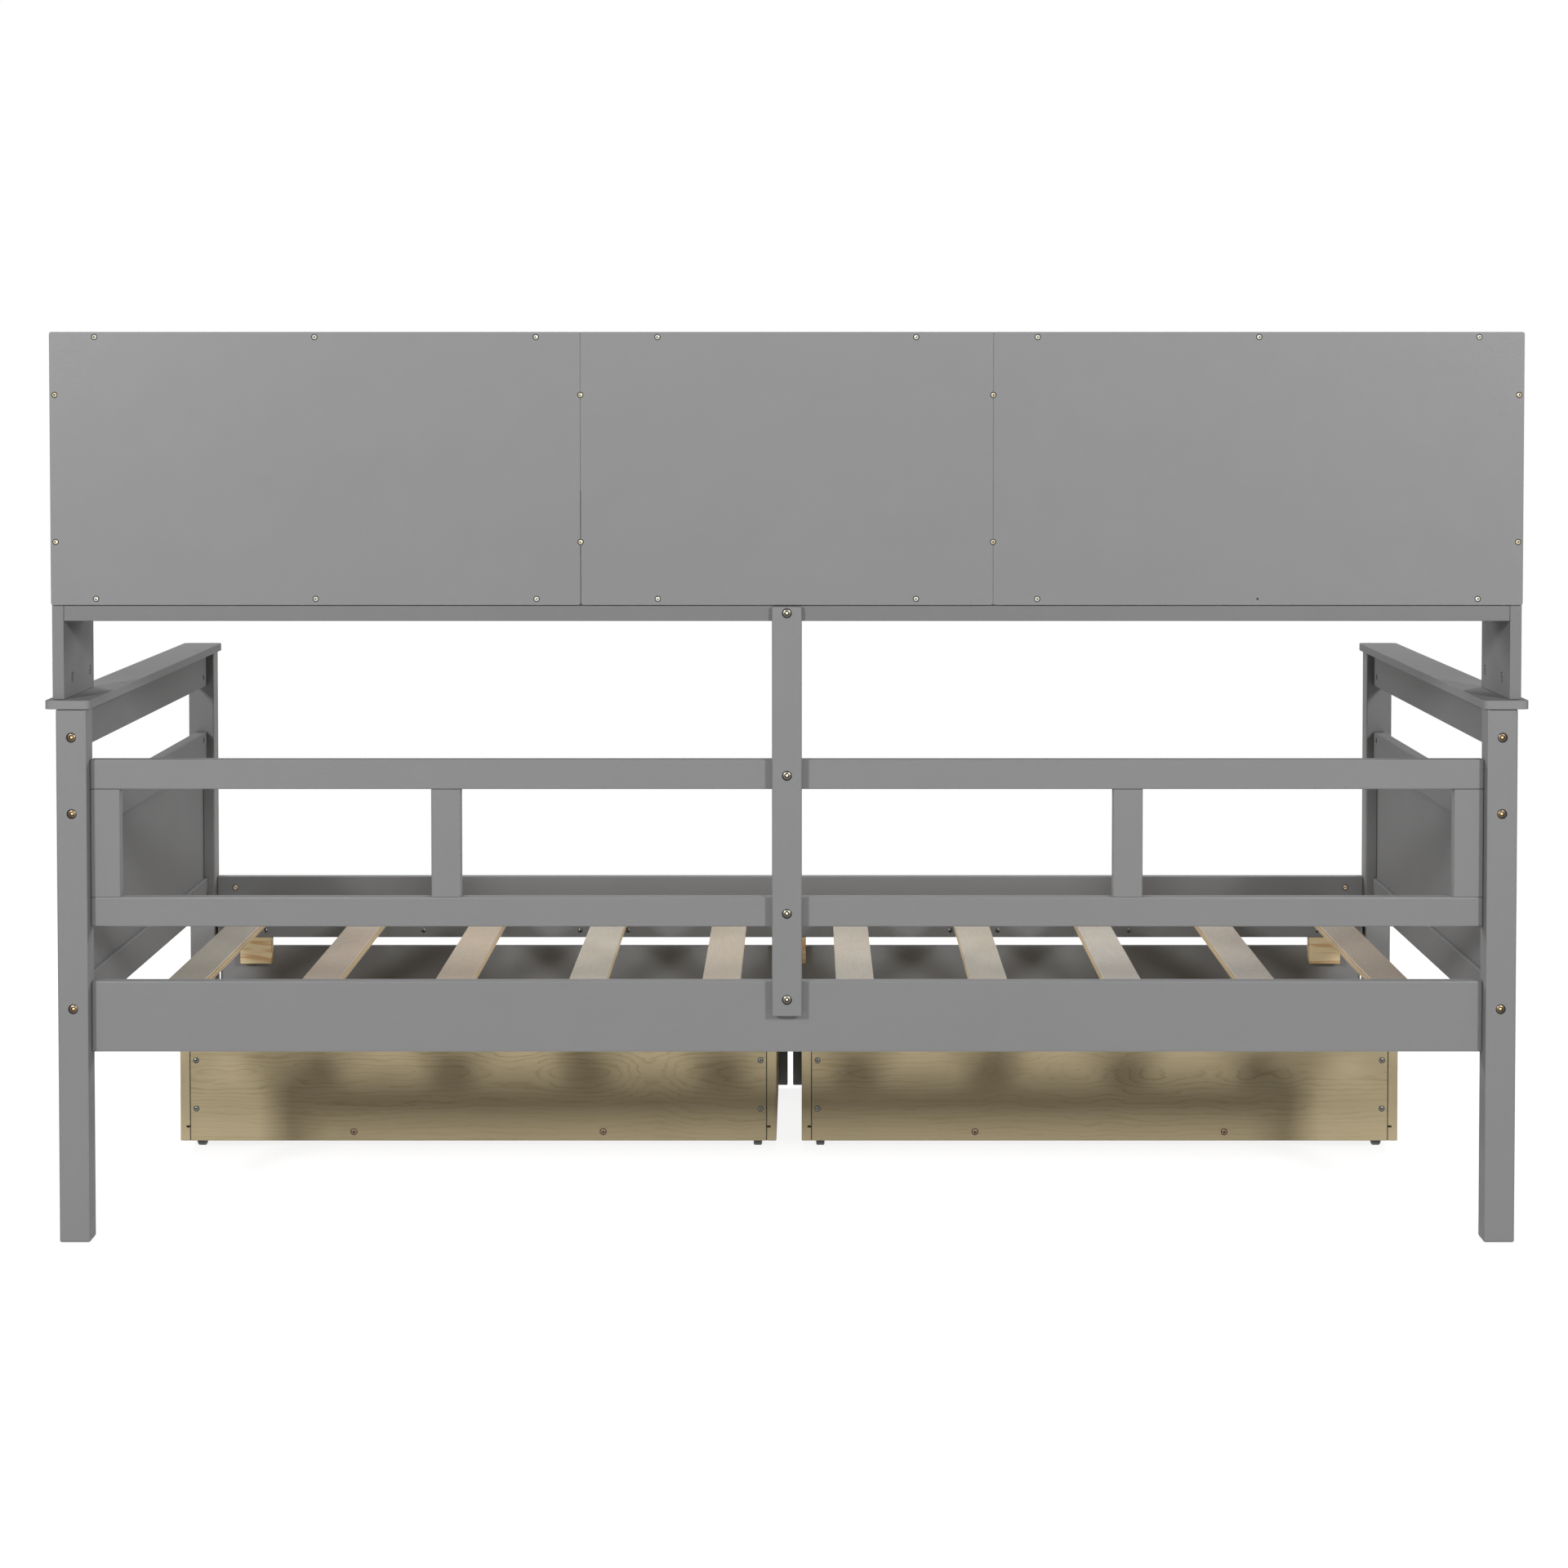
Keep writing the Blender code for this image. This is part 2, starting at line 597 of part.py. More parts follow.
def add_drawer_front(carriage, name, front_span, box_span, middle):
    high = (DRAWER_FLOOR_CLEAR, SIDE_RAIL_BOTTOM - DRAWER_TOP_CLEAR)
    front = board(name + "_front", carriage, (front_span, (front_face, fronts_rear), high),
                  GREY_PAINT, RAIL_ROUND)
    groove = (box_span[0] + DRAWER_BOARD - GROOVE_DEPTH, box_span[1] - DRAWER_BOARD + GROOVE_DEPTH)
    cut_slot(front, carriage, (groove, (fronts_rear - GROOVE_DEPTH, fronts_rear + CUT_OVERRUN),
                               (bottom_low - SEAT_GAP, bottom_low + BOTTOM_THICK + SEAT_GAP)))
    for number, offset in enumerate((-KNOB_SPACING / 2, KNOB_SPACING / 2)):
        knob = turned(name + "_knob_" + str(number), carriage, knob_profile(), KNOB_STEPS, False, GREY_PAINT)
        knob.rotation_euler = (math.radians(90), 0, 0)
        hang(knob, carriage, (middle + offset, front_face, sum(high) / 2))
        combine(front, knob, "UNION")


def add_drawer_box(carriage, name, box_span, side):
    high = (box_low, box_low + DRAWER_BOX_HEIGHT)
    groove_high = (bottom_low - SEAT_GAP, bottom_low + BOTTOM_THICK + SEAT_GAP)
    deep = (box_front, box_rear)
    low_inner = box_span[0] + DRAWER_BOARD
    high_inner = box_span[1] - DRAWER_BOARD
    outer_is_high = side > 0
    plan = (((box_span[0], low_inner), (low_inner - GROOVE_DEPTH, low_inner + CUT_OVERRUN), not outer_is_high),
            ((high_inner, box_span[1]), (high_inner - CUT_OVERRUN, high_inner + GROOVE_DEPTH), outer_is_high))
    for across, groove, is_outer in plan:
        label = "_side_outer" if is_outer else "_side_inner"
        wall = board(name + label, carriage, (across, deep, high), MAPLE_FOIL, DRAWER_ROUND, 1)
        cut_slot(wall, carriage, (groove, past(deep), groove_high))
    back_face = box_rear - DRAWER_BOARD
    back_span = (low_inner + SEAT_GAP, high_inner - SEAT_GAP)
    back = board(name + "_back", carriage, (back_span, (back_face, box_rear), high),
                 MAPLE_FOIL, DRAWER_ROUND, 1)
    cut_slot(back, carriage, (past(back_span), (back_face - CUT_OVERRUN, back_face + GROOVE_DEPTH), groove_high))
    return low_inner, high_inner, back_face


def add_fork(carriage, bottom, name, centre):
    """A fixed caster: a plate under the bottom panel, two cheeks and the axle between them."""
    middle, depth, axle_height = centre
    cheek_inner = WHEEL_WIDTH / 2 + FORK_CHEEK_CLEAR
    plate = board(name + "_plate", carriage,
                  (around(middle, FORK_PLATE_WIDTH), around(depth, 2 * WHEEL_RADIUS),
                   (bottom_low - FORK_PLATE_THICK, bottom_low + FUSE_DEPTH)),
                  DARK_PLASTIC, radius=0)
    combine(bottom, plate, "UNION")
    rise = bottom_low - FORK_PLATE_THICK + FUSE_DEPTH - axle_height
    outline = [(WHEEL_RADIUS - FUSE_DEPTH, rise), (FUSE_DEPTH - WHEEL_RADIUS, rise)]
    for step in range(CHEEK_STEPS + 1):
        angle = math.pi * (1 + step / CHEEK_STEPS)
        outline.append((FORK_CHEEK_RADIUS * math.cos(angle), FORK_CHEEK_RADIUS * math.sin(angle)))
    for label, sign in (("low", -1), ("high", 1)):
        cheek = flat_shape(name + "_cheek_" + label, carriage, outline, FORK_CHEEK_THICK, DARK_PLASTIC)
        cheek.rotation_euler = (math.radians(90), 0, math.radians(90))
        hang(cheek, carriage, (middle + sign * (cheek_inner + FORK_CHEEK_THICK / 2), depth, axle_height))
        combine(bottom, cheek, "UNION")
    axle_reach = cheek_inner + FORK_CHEEK_THICK / 2
    axle = round_bar(name + "_axle", carriage, (middle - axle_reach, depth, axle_height), (1, 0, 0),
                     AXLE_RADIUS, 2 * axle_reach, DARK_PLASTIC)
    combine(bottom, axle, "UNION")


def wheel_profile():
    """Closed ring: down the tread, in over the dished side, up the bore and out again."""
    half = WHEEL_WIDTH / 2
    rim_inner = WHEEL_RADIUS - WHEEL_RIM
    bore = AXLE_RADIUS + RUN_CLEAR
    upper = [(WHEEL_HUB_RADIUS, half),
             (rim_inner - WHEEL_DISH, half - WHEEL_DISH),
             (rim_inner, half),
             (WHEEL_RADIUS - WHEEL_SHOULDER, half),
             (WHEEL_RADIUS, half - WHEEL_SHOULDER)]
    lower = [(radius, -height) for radius, height in reversed(upper)]
    return [(bore, half)] + upper + lower + [(bore, -half)]


def add_drawer(frame, side_name, side):
    name = "drawer_" + side_name
    front_span = mirrored((DRAWER_MID_CLEAR / 2, post_in - DRAWER_POST_CLEAR), side)
    box_span = (front_span[0] + DRAWER_FRONT_LAP, front_span[1] - DRAWER_FRONT_LAP)
    middle = sum(box_span) / 2
    carriage = add_carrier(name + "_carriage", (middle, fronts_rear, 0), frame)
    add_drawer_front(carriage, name, front_span, box_span, middle)
    low_inner, high_inner, back_face = add_drawer_box(carriage, name, box_span, side)
    tongue = GROOVE_DEPTH - GROOVE_END_CLEAR
    bottom = board(name + "_bottom", carriage,
                   ((low_inner - tongue, high_inner + tongue),
                    (fronts_rear - tongue, back_face + tongue),
                    (bottom_low, bottom_low + BOTTOM_THICK)),
                   PANEL_CORE, radius=0)
    for label, offset in (("a", -BATTEN_SPACING / 2), ("b", BATTEN_SPACING / 2)):
        batten = board(name + "_batten_" + label, carriage,
                       (around(middle + offset, BATTEN_WIDTH),
                        (box_front, back_face - SEAT_GAP),
                        (bottom_low - BATTEN_HEIGHT, bottom_low + FUSE_DEPTH)),
                       PANEL_CORE, radius=0)
        combine(bottom, batten, "UNION")
    wheel_inset = WHEEL_SIDE_SPACE + WHEEL_WIDTH / 2
    end_inset = WHEEL_END_CLEAR + WHEEL_RADIUS
    low_label, high_label = ("inner", "outer") if side > 0 else ("outer", "inner")
    for end_name, depth in (("front", fronts_rear + end_inset), ("rear", back_face - end_inset)):
        for label, across in ((low_label, low_inner + wheel_inset), (high_label, high_inner - wheel_inset)):
            centre = (across, depth, WHEEL_RADIUS)
            wheel_name = name + "_wheel_" + end_name + "_" + label
            add_fork(carriage, bottom, wheel_name + "_fork", centre)
            wheel = turned(wheel_name, carriage, wheel_profile(), WHEEL_STEPS, True, DARK_PLASTIC)
            wheel.rotation_euler = (0, math.radians(90), 0)
            hang(wheel, carriage, centre)


def build_daybed():
    frame = add_carrier("daybed_frame", (0, 0, 0))
    add_posts(frame)
    add_arms(frame)
    add_back_guard(frame)
    add_side_rails(frame)
    add_slats(frame)
    add_hutch(frame)
    for side_name, side in SIDES:
        add_drawer(frame, side_name, side)
    frame.location = (0, row_shift, 0)


build_daybed()
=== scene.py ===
import math
import random

import bmesh
import bpy
from mathutils import Matrix, Vector


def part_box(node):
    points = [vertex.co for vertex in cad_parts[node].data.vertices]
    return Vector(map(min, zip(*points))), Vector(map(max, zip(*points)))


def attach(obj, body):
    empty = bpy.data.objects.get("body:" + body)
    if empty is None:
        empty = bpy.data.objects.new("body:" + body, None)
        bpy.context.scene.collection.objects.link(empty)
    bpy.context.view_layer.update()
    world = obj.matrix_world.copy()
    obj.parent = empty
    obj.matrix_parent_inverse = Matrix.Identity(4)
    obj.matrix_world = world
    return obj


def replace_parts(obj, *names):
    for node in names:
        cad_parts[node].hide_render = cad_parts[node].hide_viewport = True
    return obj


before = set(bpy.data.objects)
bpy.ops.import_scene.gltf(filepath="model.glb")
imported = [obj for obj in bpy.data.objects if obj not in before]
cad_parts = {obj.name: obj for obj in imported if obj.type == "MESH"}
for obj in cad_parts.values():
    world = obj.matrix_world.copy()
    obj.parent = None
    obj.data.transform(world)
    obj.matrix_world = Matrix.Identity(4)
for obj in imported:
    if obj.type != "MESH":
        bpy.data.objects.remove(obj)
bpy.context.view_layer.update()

print("frame loaded with", len(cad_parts), "nodes")


def worked(operation, swapped=False):  # an operator that adds a maths node
    def method(self, *other):
        return self.recipe.maths(operation, *((*other, self) if swapped else (self, *other)))
    return method


class Wire:  # a socket that can stand in a sum, such as 1 - mask
    __add__ = __radd__ = worked("ADD")
    __sub__, __rsub__ = worked("SUBTRACT"), worked("SUBTRACT", swapped=True)
    __mul__ = __rmul__ = worked("MULTIPLY")
    __truediv__, __gt__ = worked("DIVIDE"), worked("GREATER_THAN")
    __abs__ = worked("ABSOLUTE")

    def __init__(self, recipe, socket):
        self.recipe, self.socket = recipe, socket


class Recipe:  # the nodes of one finish, added a call at a time
    def __init__(self, tree):
        self.tree = tree

    def node(self, kind, settings=None, inputs=None, output=0):
        made = self.tree.nodes.new(kind)
        for setting, value in (settings or {}).items():
            if setting == "stops":  # a ramp's stops: place and colour
                elements = made.color_ramp.elements
                while len(elements) < len(value):
                    elements.new(1)
                for element, (position, colour) in zip(elements, value):
                    element.position, element.color = position, (*colour, 1)
            else:
                setattr(made, setting, value)
        for socket, value in (inputs or {}).items():
            if isinstance(value, Wire):
                self.tree.links.new(value.socket, made.inputs[socket])
            else:
                made.inputs[socket].default_value = value
        return Wire(self, made.outputs[output])

    def maths(self, operation, *values):
        return self.node("ShaderNodeMath", {"operation": operation}, dict(enumerate(values)))

    def vectors(self, operation, first, second, into=1):
        return self.node("ShaderNodeVectorMath", {"operation": operation}, {0: first, into: second})

    def place(self):  # metres in the frame, which ride with the piece
        return self.node("ShaderNodeTexCoord", output="Object")

    def axes(self, vector):
        split = self.node("ShaderNodeSeparateXYZ", inputs={0: vector})
        return [Wire(self, socket) for socket in split.socket.node.outputs]

    def facing(self):  # the way a face looks, along X, Y and Z
        return self.axes(self.node("ShaderNodeTexCoord", output="Normal"))

    def squareTo(self, axis):  # 1 on faces square to that axis, 0 on faces along it
        return abs(self.facing()["XYZ".index(axis)])

    def seen(self):  # 1 in the picture and in mirror images, 0 for other light
        path = self.node("ShaderNodeLightPath", output="Is Camera Ray").socket.node
        kinds = ("Camera", "Glossy", "Transmission")
        rays = sum(Wire(self, path.outputs["Is %s Ray" % kind]) for kind in kinds)
        return self.maths("MINIMUM", rays, 1.0)

    def noise(self, size, detail=2.0, roughness=0.5, distortion=0.0, where=None):
        sizes = size if isinstance(size, tuple) else (size,) * 3
        scaled = self.vectors("MULTIPLY", where or self.place(), tuple(1 / each for each in sizes))
        return self.node("ShaderNodeTexNoise", inputs={
            "Vector": scaled, "Scale": 1.0, "Detail": detail,
            "Roughness": roughness, "Distortion": distortion})

    def ownTone(self, number):  # a steady random value for each number
        return self.node("ShaderNodeTexWhiteNoise", {"noise_dimensions": "1D"}, {"W": number})

    def spread(self, value, low, high, newLow=0.0, newHigh=1.0, smooth=False):
        kind = {"interpolation_type": "SMOOTHSTEP" if smooth else "LINEAR"}
        return self.node("ShaderNodeMapRange", kind,
                         {0: value, 1: low, 2: high, 3: newLow, 4: newHigh})

    def mix(self, factor, first, second):
        return self.node("ShaderNodeMix", {"data_type": "RGBA", "blend_type": "MIX"},
                         {0: factor, 6: tinted(first), 7: tinted(second)}, output=2)

    def shade(self, colour, amount):  # the colour made lighter or darker by a value near 1
        return self.vectors("SCALE", colour, amount, "Scale")

    def bump(self, height):  # height in metres
        heights = {"Height": height, "Distance": 1.0, "Strength": 1.0}
        return self.node("ShaderNodeBump", inputs=heights)


def tinted(colour):  # a colour of three values gets its fourth
    return (*colour, 1) if isinstance(colour, tuple) else colour


def grained(axis, along, across):  # a patch's size where the grain runs along the axis
    return tuple(along if letter == axis else across for letter in "XYZ")


class Finish(Recipe):  # a material with one shader
    def __init__(self, name, gloss=0.5, metal=0.0):
        self.material = bpy.data.materials.new(name)
        self.material.use_nodes = True
        super().__init__(self.material.node_tree)
        self.shader = self.tree.nodes["Principled BSDF"]
        self.shader.inputs["Specular IOR Level"].default_value = gloss
        self.shader.inputs["Metallic"].default_value = metal

    def wear(self, colour, rough, height):
        links = {"Base Color": colour, "Roughness": rough, "Normal": self.bump(height)}
        for socket, wire in links.items():
            self.tree.links.new(wire.socket, self.shader.inputs[socket])
        return self.material


# a size is the length of a patch in metres: one value, along and across the grain, or X, Y and Z
paint = {
    "colour": (0.210, 0.210, 0.212),
    "roughness": 0.36,
    "gloss": 0.55,  # specular level of boards seen face on
    "armGloss": 0.10,  # arms and caps are rubbed duller
    "capGloss": 0.05,
    "capPaintedLight": 1.30,  # painted light: the caps' tone is set lighter than that of other boards, for the light on their tops
    "cloudSize": 0.16, "cloud": 0.045,  # how far the tone drifts over a board
    "streakSize": (0.35, 0.0035), "poreSize": (0.022, 0.0009),
    "grain": 0.035, "grainHeight": 0.00006,  # how far the wood shows through
    "speckSize": 0.0016, "speck": 0.05,
    "patchSize": 0.05, "patch": 0.10,  # patches of another gloss
    "stippleSize": 0.0035, "stipple": 0.00007,  # height of what the roller leaves
    "endTone": 0.05, "endRough": 0.08,  # sawn ends take more paint and dry duller
    "topRough": 0.50,  # added on faces that look up: dust and handling
    "sideRough": 0.38, "sidePaintedShade": 0.08,  # faces that look along the bed are rougher, and darker as painted shade for how light falls on them
    "ends": (0.80, 0.95), "tilt": (0.75, 0.97),  # where a face starts to count, and counts fully
}


def greyPaint(name, axis, grain=1.0, gloss=paint["gloss"], level=1.0):
    # satin enamel over wood whose grain runs along the axis; level makes the tone lighter or darker
    skin = Finish(name, gloss)
    cloud = skin.noise(paint["cloudSize"], 3.0) - 0.5
    stipple = skin.noise(paint["stippleSize"], 2.0)
    streak = skin.noise(grained(axis, *paint["streakSize"]), 3.0, 0.6) - 0.5
    pore = skin.noise(grained(axis, *paint["poreSize"]), 1.0) - 0.5
    speck = skin.noise(paint["speckSize"], 2.0) - 0.5
    patch = skin.noise(paint["patchSize"], 3.0) - 0.5
    facing = skin.facing()
    ends = skin.spread(abs(facing["XYZ".index(axis)]), *paint["ends"])
    upper = skin.spread(facing[2], *paint["tilt"])
    aside = skin.spread(abs(facing[0]), *paint["tilt"])
    tone = level + cloud * paint["cloud"] + (streak + pore) * (paint["grain"] * grain)
    # painted shade: faces that look along the bed are made darker
    tone = tone + speck * paint["speck"] - ends * paint["endTone"] - aside * paint["sidePaintedShade"]
    rough = paint["roughness"] + patch * paint["patch"] + ends * paint["endRough"]
    rough = rough + upper * paint["topRough"] + aside * paint["sideRough"]
    height = stipple * paint["stipple"] + (streak + pore * 0.5) * (paint["grainHeight"] * grain)
    return skin.wear(skin.shade(paint["colour"], tone), rough, height)


birch = {
    "gloss": 0.35, "roughness": 0.58,
    "pale": (0.485, 0.452, 0.395), "peach": (0.485, 0.355, 0.250), "olive": (0.37, 0.325, 0.235),
    "pitch": 0.196, "own": 0.08,  # from slat to slat, and how far each has its own tone
    "figureSize": (0.075, 0.26, 0.02), "arcs": 110, "arc": 0.30,  # arcs: lines in the figure
    "blotchSize": (0.11, 0.20, 0.05),
    "shadeSize": (0.07, 0.13, 0.04), "shadeShift": (3.0, 1.0, 2.0),
    "fleckSize": (0.0022, 0.012, 0.01), "fleckHeight": 0.00004,
    "fibreSize": (0.0012, 0.06, 0.002), "fibreHeight": 0.00008,
    "fibre": 0.36, "fleck": 0.16, "warm": 0.85, "grey": 0.60,  # how far each of these shows
    "knots": 11.0, "knotSize": (0.008, 0.030), "knot": (0.16, 0.09, 0.05),
    # the five layers along the sides and the glue between them, in shares of the thickness
    "core": (0.80, 0.64, 0.41), "coreDark": (0.50, 0.35, 0.20), "glue": (0.16, 0.10, 0.06),
    "glueLines": (0.195, 0.395, 0.615, 0.815), "glueSpread": 0.015, "waviness": 0.05,
}


def birchPly(name):
    low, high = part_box("slat_01")
    skin = Finish(name, birch["gloss"])
    x, _, z = skin.axes(skin.place())
    figure = skin.noise(birch["figureSize"], 1.5, 0.45, 0.3)
    arcs = skin.maths("SINE", figure * birch["arcs"])
    blotch = skin.noise(birch["blotchSize"], 3.0, 0.6)
    shifted = skin.vectors("ADD", skin.place(), birch["shadeShift"])
    shade = skin.noise(birch["shadeSize"], 3.0, 0.6, where=shifted)
    fleck = skin.noise(birch["fleckSize"], 2.0, 0.7)
    fibre = skin.noise(birch["fibreSize"], 3.0, 0.6)
    number = skin.maths("FLOOR", x / birch["pitch"])
    ownWarmth, ownShade = skin.ownTone(number), skin.ownTone(number + 40.5)
    warmth = skin.spread(blotch * 0.55 + ownWarmth * 0.45, 0.28, 0.75) * birch["warm"]
    warmth = warmth + skin.spread(arcs, 0.55, 1.0) * birch["arc"]
    greyed = skin.spread(shade * 0.60 + ownShade * 0.40, 0.35, 0.80) * birch["grey"]
    top = skin.mix(warmth, birch["pale"], birch["peach"])
    top = skin.mix(greyed, top, birch["olive"])
    tone = 1.03 + (fibre - 0.5) * birch["fibre"] - skin.spread(fleck, 0.58, 0.80) * birch["fleck"]
    tone = tone + (ownShade - 0.5) * birch["own"]
    cells = skin.node("ShaderNodeTexVoronoi", {"feature": "F1"}, {
        "Vector": skin.place(), "Scale": birch["knots"], "Randomness": 1.0})
    knot = 1 - skin.spread(cells, *birch["knotSize"])
    top = skin.mix(knot * 0.75, skin.shade(top, tone), birch["knot"])
    layer = (z - low.z) / (high.z - low.z) + (blotch - 0.5) * birch["waviness"]
    under, over = birch["core"], birch["coreDark"]
    stops = [(0.0, under)]
    for line in birch["glueLines"]:
        stops += [(line - birch["glueSpread"], under), (line, birch["glue"]),
                  (line + birch["glueSpread"], over)]
        under, over = over, under
    stops.append((1.0, under))
    ply = skin.node("ShaderNodeValToRGB", {"stops": stops}, {0: layer})
    side = 1 - skin.spread(skin.squareTo("Z"), 0.45, 0.60)
    colour = skin.mix(side, top, skin.shade(ply, 1.0 + (fibre - 0.5) * 0.30))
    height = fibre * birch["fibreHeight"] + fleck * birch["fleckHeight"]
    return skin.wear(colour, birch["roughness"] + (fleck - 0.5) * 0.15, height)


foil = {
    "gloss": 0.15, "roughness": 0.55,
    "base": (0.55, 0.458, 0.286), "line": (0.34, 0.255, 0.125),
    "seam": (0.04, 0.03, 0.025), "seamShadeWidth": (0.0002, 0.0009),  # painted shade in the hairline where the back meets a side board
    "ring": 0.0078, "rings": 0.46, "streaks": 0.36,  # width of a growth ring; how far these show
    "heart": 0.118, "sway": 0.030,  # height of the log's heart, where the cathedrals stand
    "depth": 0.010, "swing": 0.105,  # how far the cut runs behind the heart
    "broadSize": (0.135, 0.40), "longSize": (0.40, 0.030), "flameSize": (0.060, 0.0090),
    "fineSize": (0.11, 0.0022), "tinySize": (0.03, 0.0008), "cloudSize": 0.09,
    "fibreHeight": 0.00003,
}


def mapleFoil(name, axis):
    # printed maple film: cathedrals round the heart of the log, straight grain away from it
    skin = Finish(name, foil["gloss"])
    x, _, z = skin.axes(skin.place())
    broad, long, flame, fine, tiny = (
        grained(axis, *foil[key + "Size"]) for key in ("broad", "long", "flame", "fine", "tiny"))
    depth = (skin.noise(broad, 1.0, 0.4) - 0.5) * foil["swing"] + foil["depth"]
    height = z - foil["heart"] + (skin.noise(long, 1.0) - 0.5) * foil["sway"]
    reach = skin.maths("SQRT", height * height + depth * depth)
    wander = (skin.noise(flame, 2.5, 0.55) - 0.5) * 1.7 + (skin.noise(long, 3.0) - 0.5) * 0.5
    saw = skin.maths("FRACT", reach / foil["ring"] + wander)
    ring = skin.spread(saw, 0.52, 0.90, smooth=True) * (1 - skin.spread(saw, 0.90, 0.98))
    ring = ring * skin.spread(skin.noise(long, 3.0, 0.6), 0.36, 0.62, 0.20, 1.0)
    ring = ring * skin.spread(z, 0.03, 0.10, 0.50, 1.15)
    streak = skin.noise(fine, 3.0, 0.65)
    fibre = skin.noise(tiny, 2.0)
    cloud = skin.noise(foil["cloudSize"], 2.0) - 0.5
    ends = skin.spread(skin.squareTo(axis), 0.8, 0.95)
    lines = ring * foil["rings"] + skin.spread(streak, 0.50, 0.78) * foil["streaks"]
    lines = lines * (1 - ends * 0.85)
    tone = 1 + (streak - 0.5) * 0.12 + (fibre - 0.5) * 0.08 + cloud * 0.10
    colour = skin.shade(skin.mix(lines, foil["base"], foil["line"]), tone)
    # painted shade: the foil is darkened along the hairlines between the back and the side boards
    if axis == "X":
        low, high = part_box("drawer_right_back")
        away = skin.maths("MINIMUM", abs(abs(x) - low.x), abs(abs(x) - high.x))
        dark = (1 - skin.spread(away, *foil["seamShadeWidth"])) * 0.9
        colour = skin.mix(dark, colour, foil["seam"])
    rough = foil["roughness"] + (fibre - 0.5) * 0.10
    return skin.wear(colour, rough, fibre * foil["fibreHeight"])


pressed = {
    "gloss": 0.3, "roughness": 0.5, "dark": (0.20, 0.12, 0.06), "light": (0.32, 0.20, 0.11),
    "fibreSize": (0.0016, 0.0024, 0.001), "fibreHeight": 0.0001,
    "patchSize": 0.09, "streakSize": (0.10, 0.004),
}


def hardboard(name):
    # maple film on the upper face, brown pressed fibre below
    skin = Finish(name, pressed["gloss"])
    fibre = skin.noise(pressed["fibreSize"], 4.0, 0.7)
    patch = skin.noise(pressed["patchSize"], 2.0)
    streak = skin.noise(grained("X", *pressed["streakSize"]), 3.0, 0.6)
    under = skin.mix(fibre, pressed["dark"], pressed["light"])
    upper = skin.mix(skin.spread(streak, 0.45, 0.75) * 0.6, foil["base"], foil["line"])
    colour = skin.mix(skin.facing()[2] > 0.5, under, upper)
    return skin.wear(skin.shade(colour, 0.92 + patch * 0.16),
                     pressed["roughness"] + fibre * 0.2, fibre * pressed["fibreHeight"])


pine = {
    "gloss": 0.35, "roughness": 0.6, "pale": (0.92, 0.74, 0.46), "late": (0.68, 0.39, 0.15),
    "fibreSize": (0.02, 0.02, 0.0007), "fibreHeight": 0.00008,
}


def pineWood(name, along, across):  # along and across: the lengths of one streak
    skin = Finish(name, pine["gloss"])
    band = skin.noise((along, along * 0.6, across), 2.0, 0.45, 0.3)
    fibre = skin.noise(pine["fibreSize"], 3.0, 0.6)
    late = skin.spread(band, 0.46, 0.62, smooth=True)
    ends = skin.spread(skin.squareTo("X"), 0.8, 0.95)
    colour = skin.mix(late * 0.75, pine["pale"], pine["late"])
    tone = 1 + (fibre - 0.5) * 0.22 - ends * 0.12
    return skin.wear(skin.shade(colour, tone), pine["roughness"] + (fibre - 0.5) * 0.2,
                     fibre * pine["fibreHeight"])


moulded = {
    "gloss": 0.5, "grainSize": 0.0009, "grainHeight": 0.00003, "scuffSize": (0.004, 0.004, 0.02),
}


def plastic(name, colour, rough):
    skin = Finish(name, moulded["gloss"])
    grain = skin.noise(moulded["grainSize"], 3.0, 0.6)
    scuff = skin.noise(moulded["scuffSize"], 4.0, 0.7)
    tone = 1 + (grain - 0.5) * 0.3 + skin.spread(scuff, 0.58, 0.75) * 0.5
    return skin.wear(skin.shade(colour, tone), rough + (scuff - 0.5) * 0.2,
                     grain * moulded["grainHeight"])


brushed = {"bloomSize": 0.006, "brushSize": (0.004, 0.004, 0.0003), "brushHeight": 0.00002}


def plated(name, colour, second, rough):
    # two tones of plating, brushed and a little uneven
    skin = Finish(name, metal=1.0)
    bloom = skin.noise(brushed["bloomSize"], 3.0, 0.6, 0.4)
    brush = skin.noise(brushed["brushSize"], 2.0, 0.6)
    colours = skin.mix(skin.spread(bloom, 0.35, 0.65), colour, second)
    tone = 1 + (brush - 0.5) * 0.25
    return skin.wear(skin.shade(colours, tone), rough + (brush - 0.5) * 0.18,
                     brush * brushed["brushHeight"])


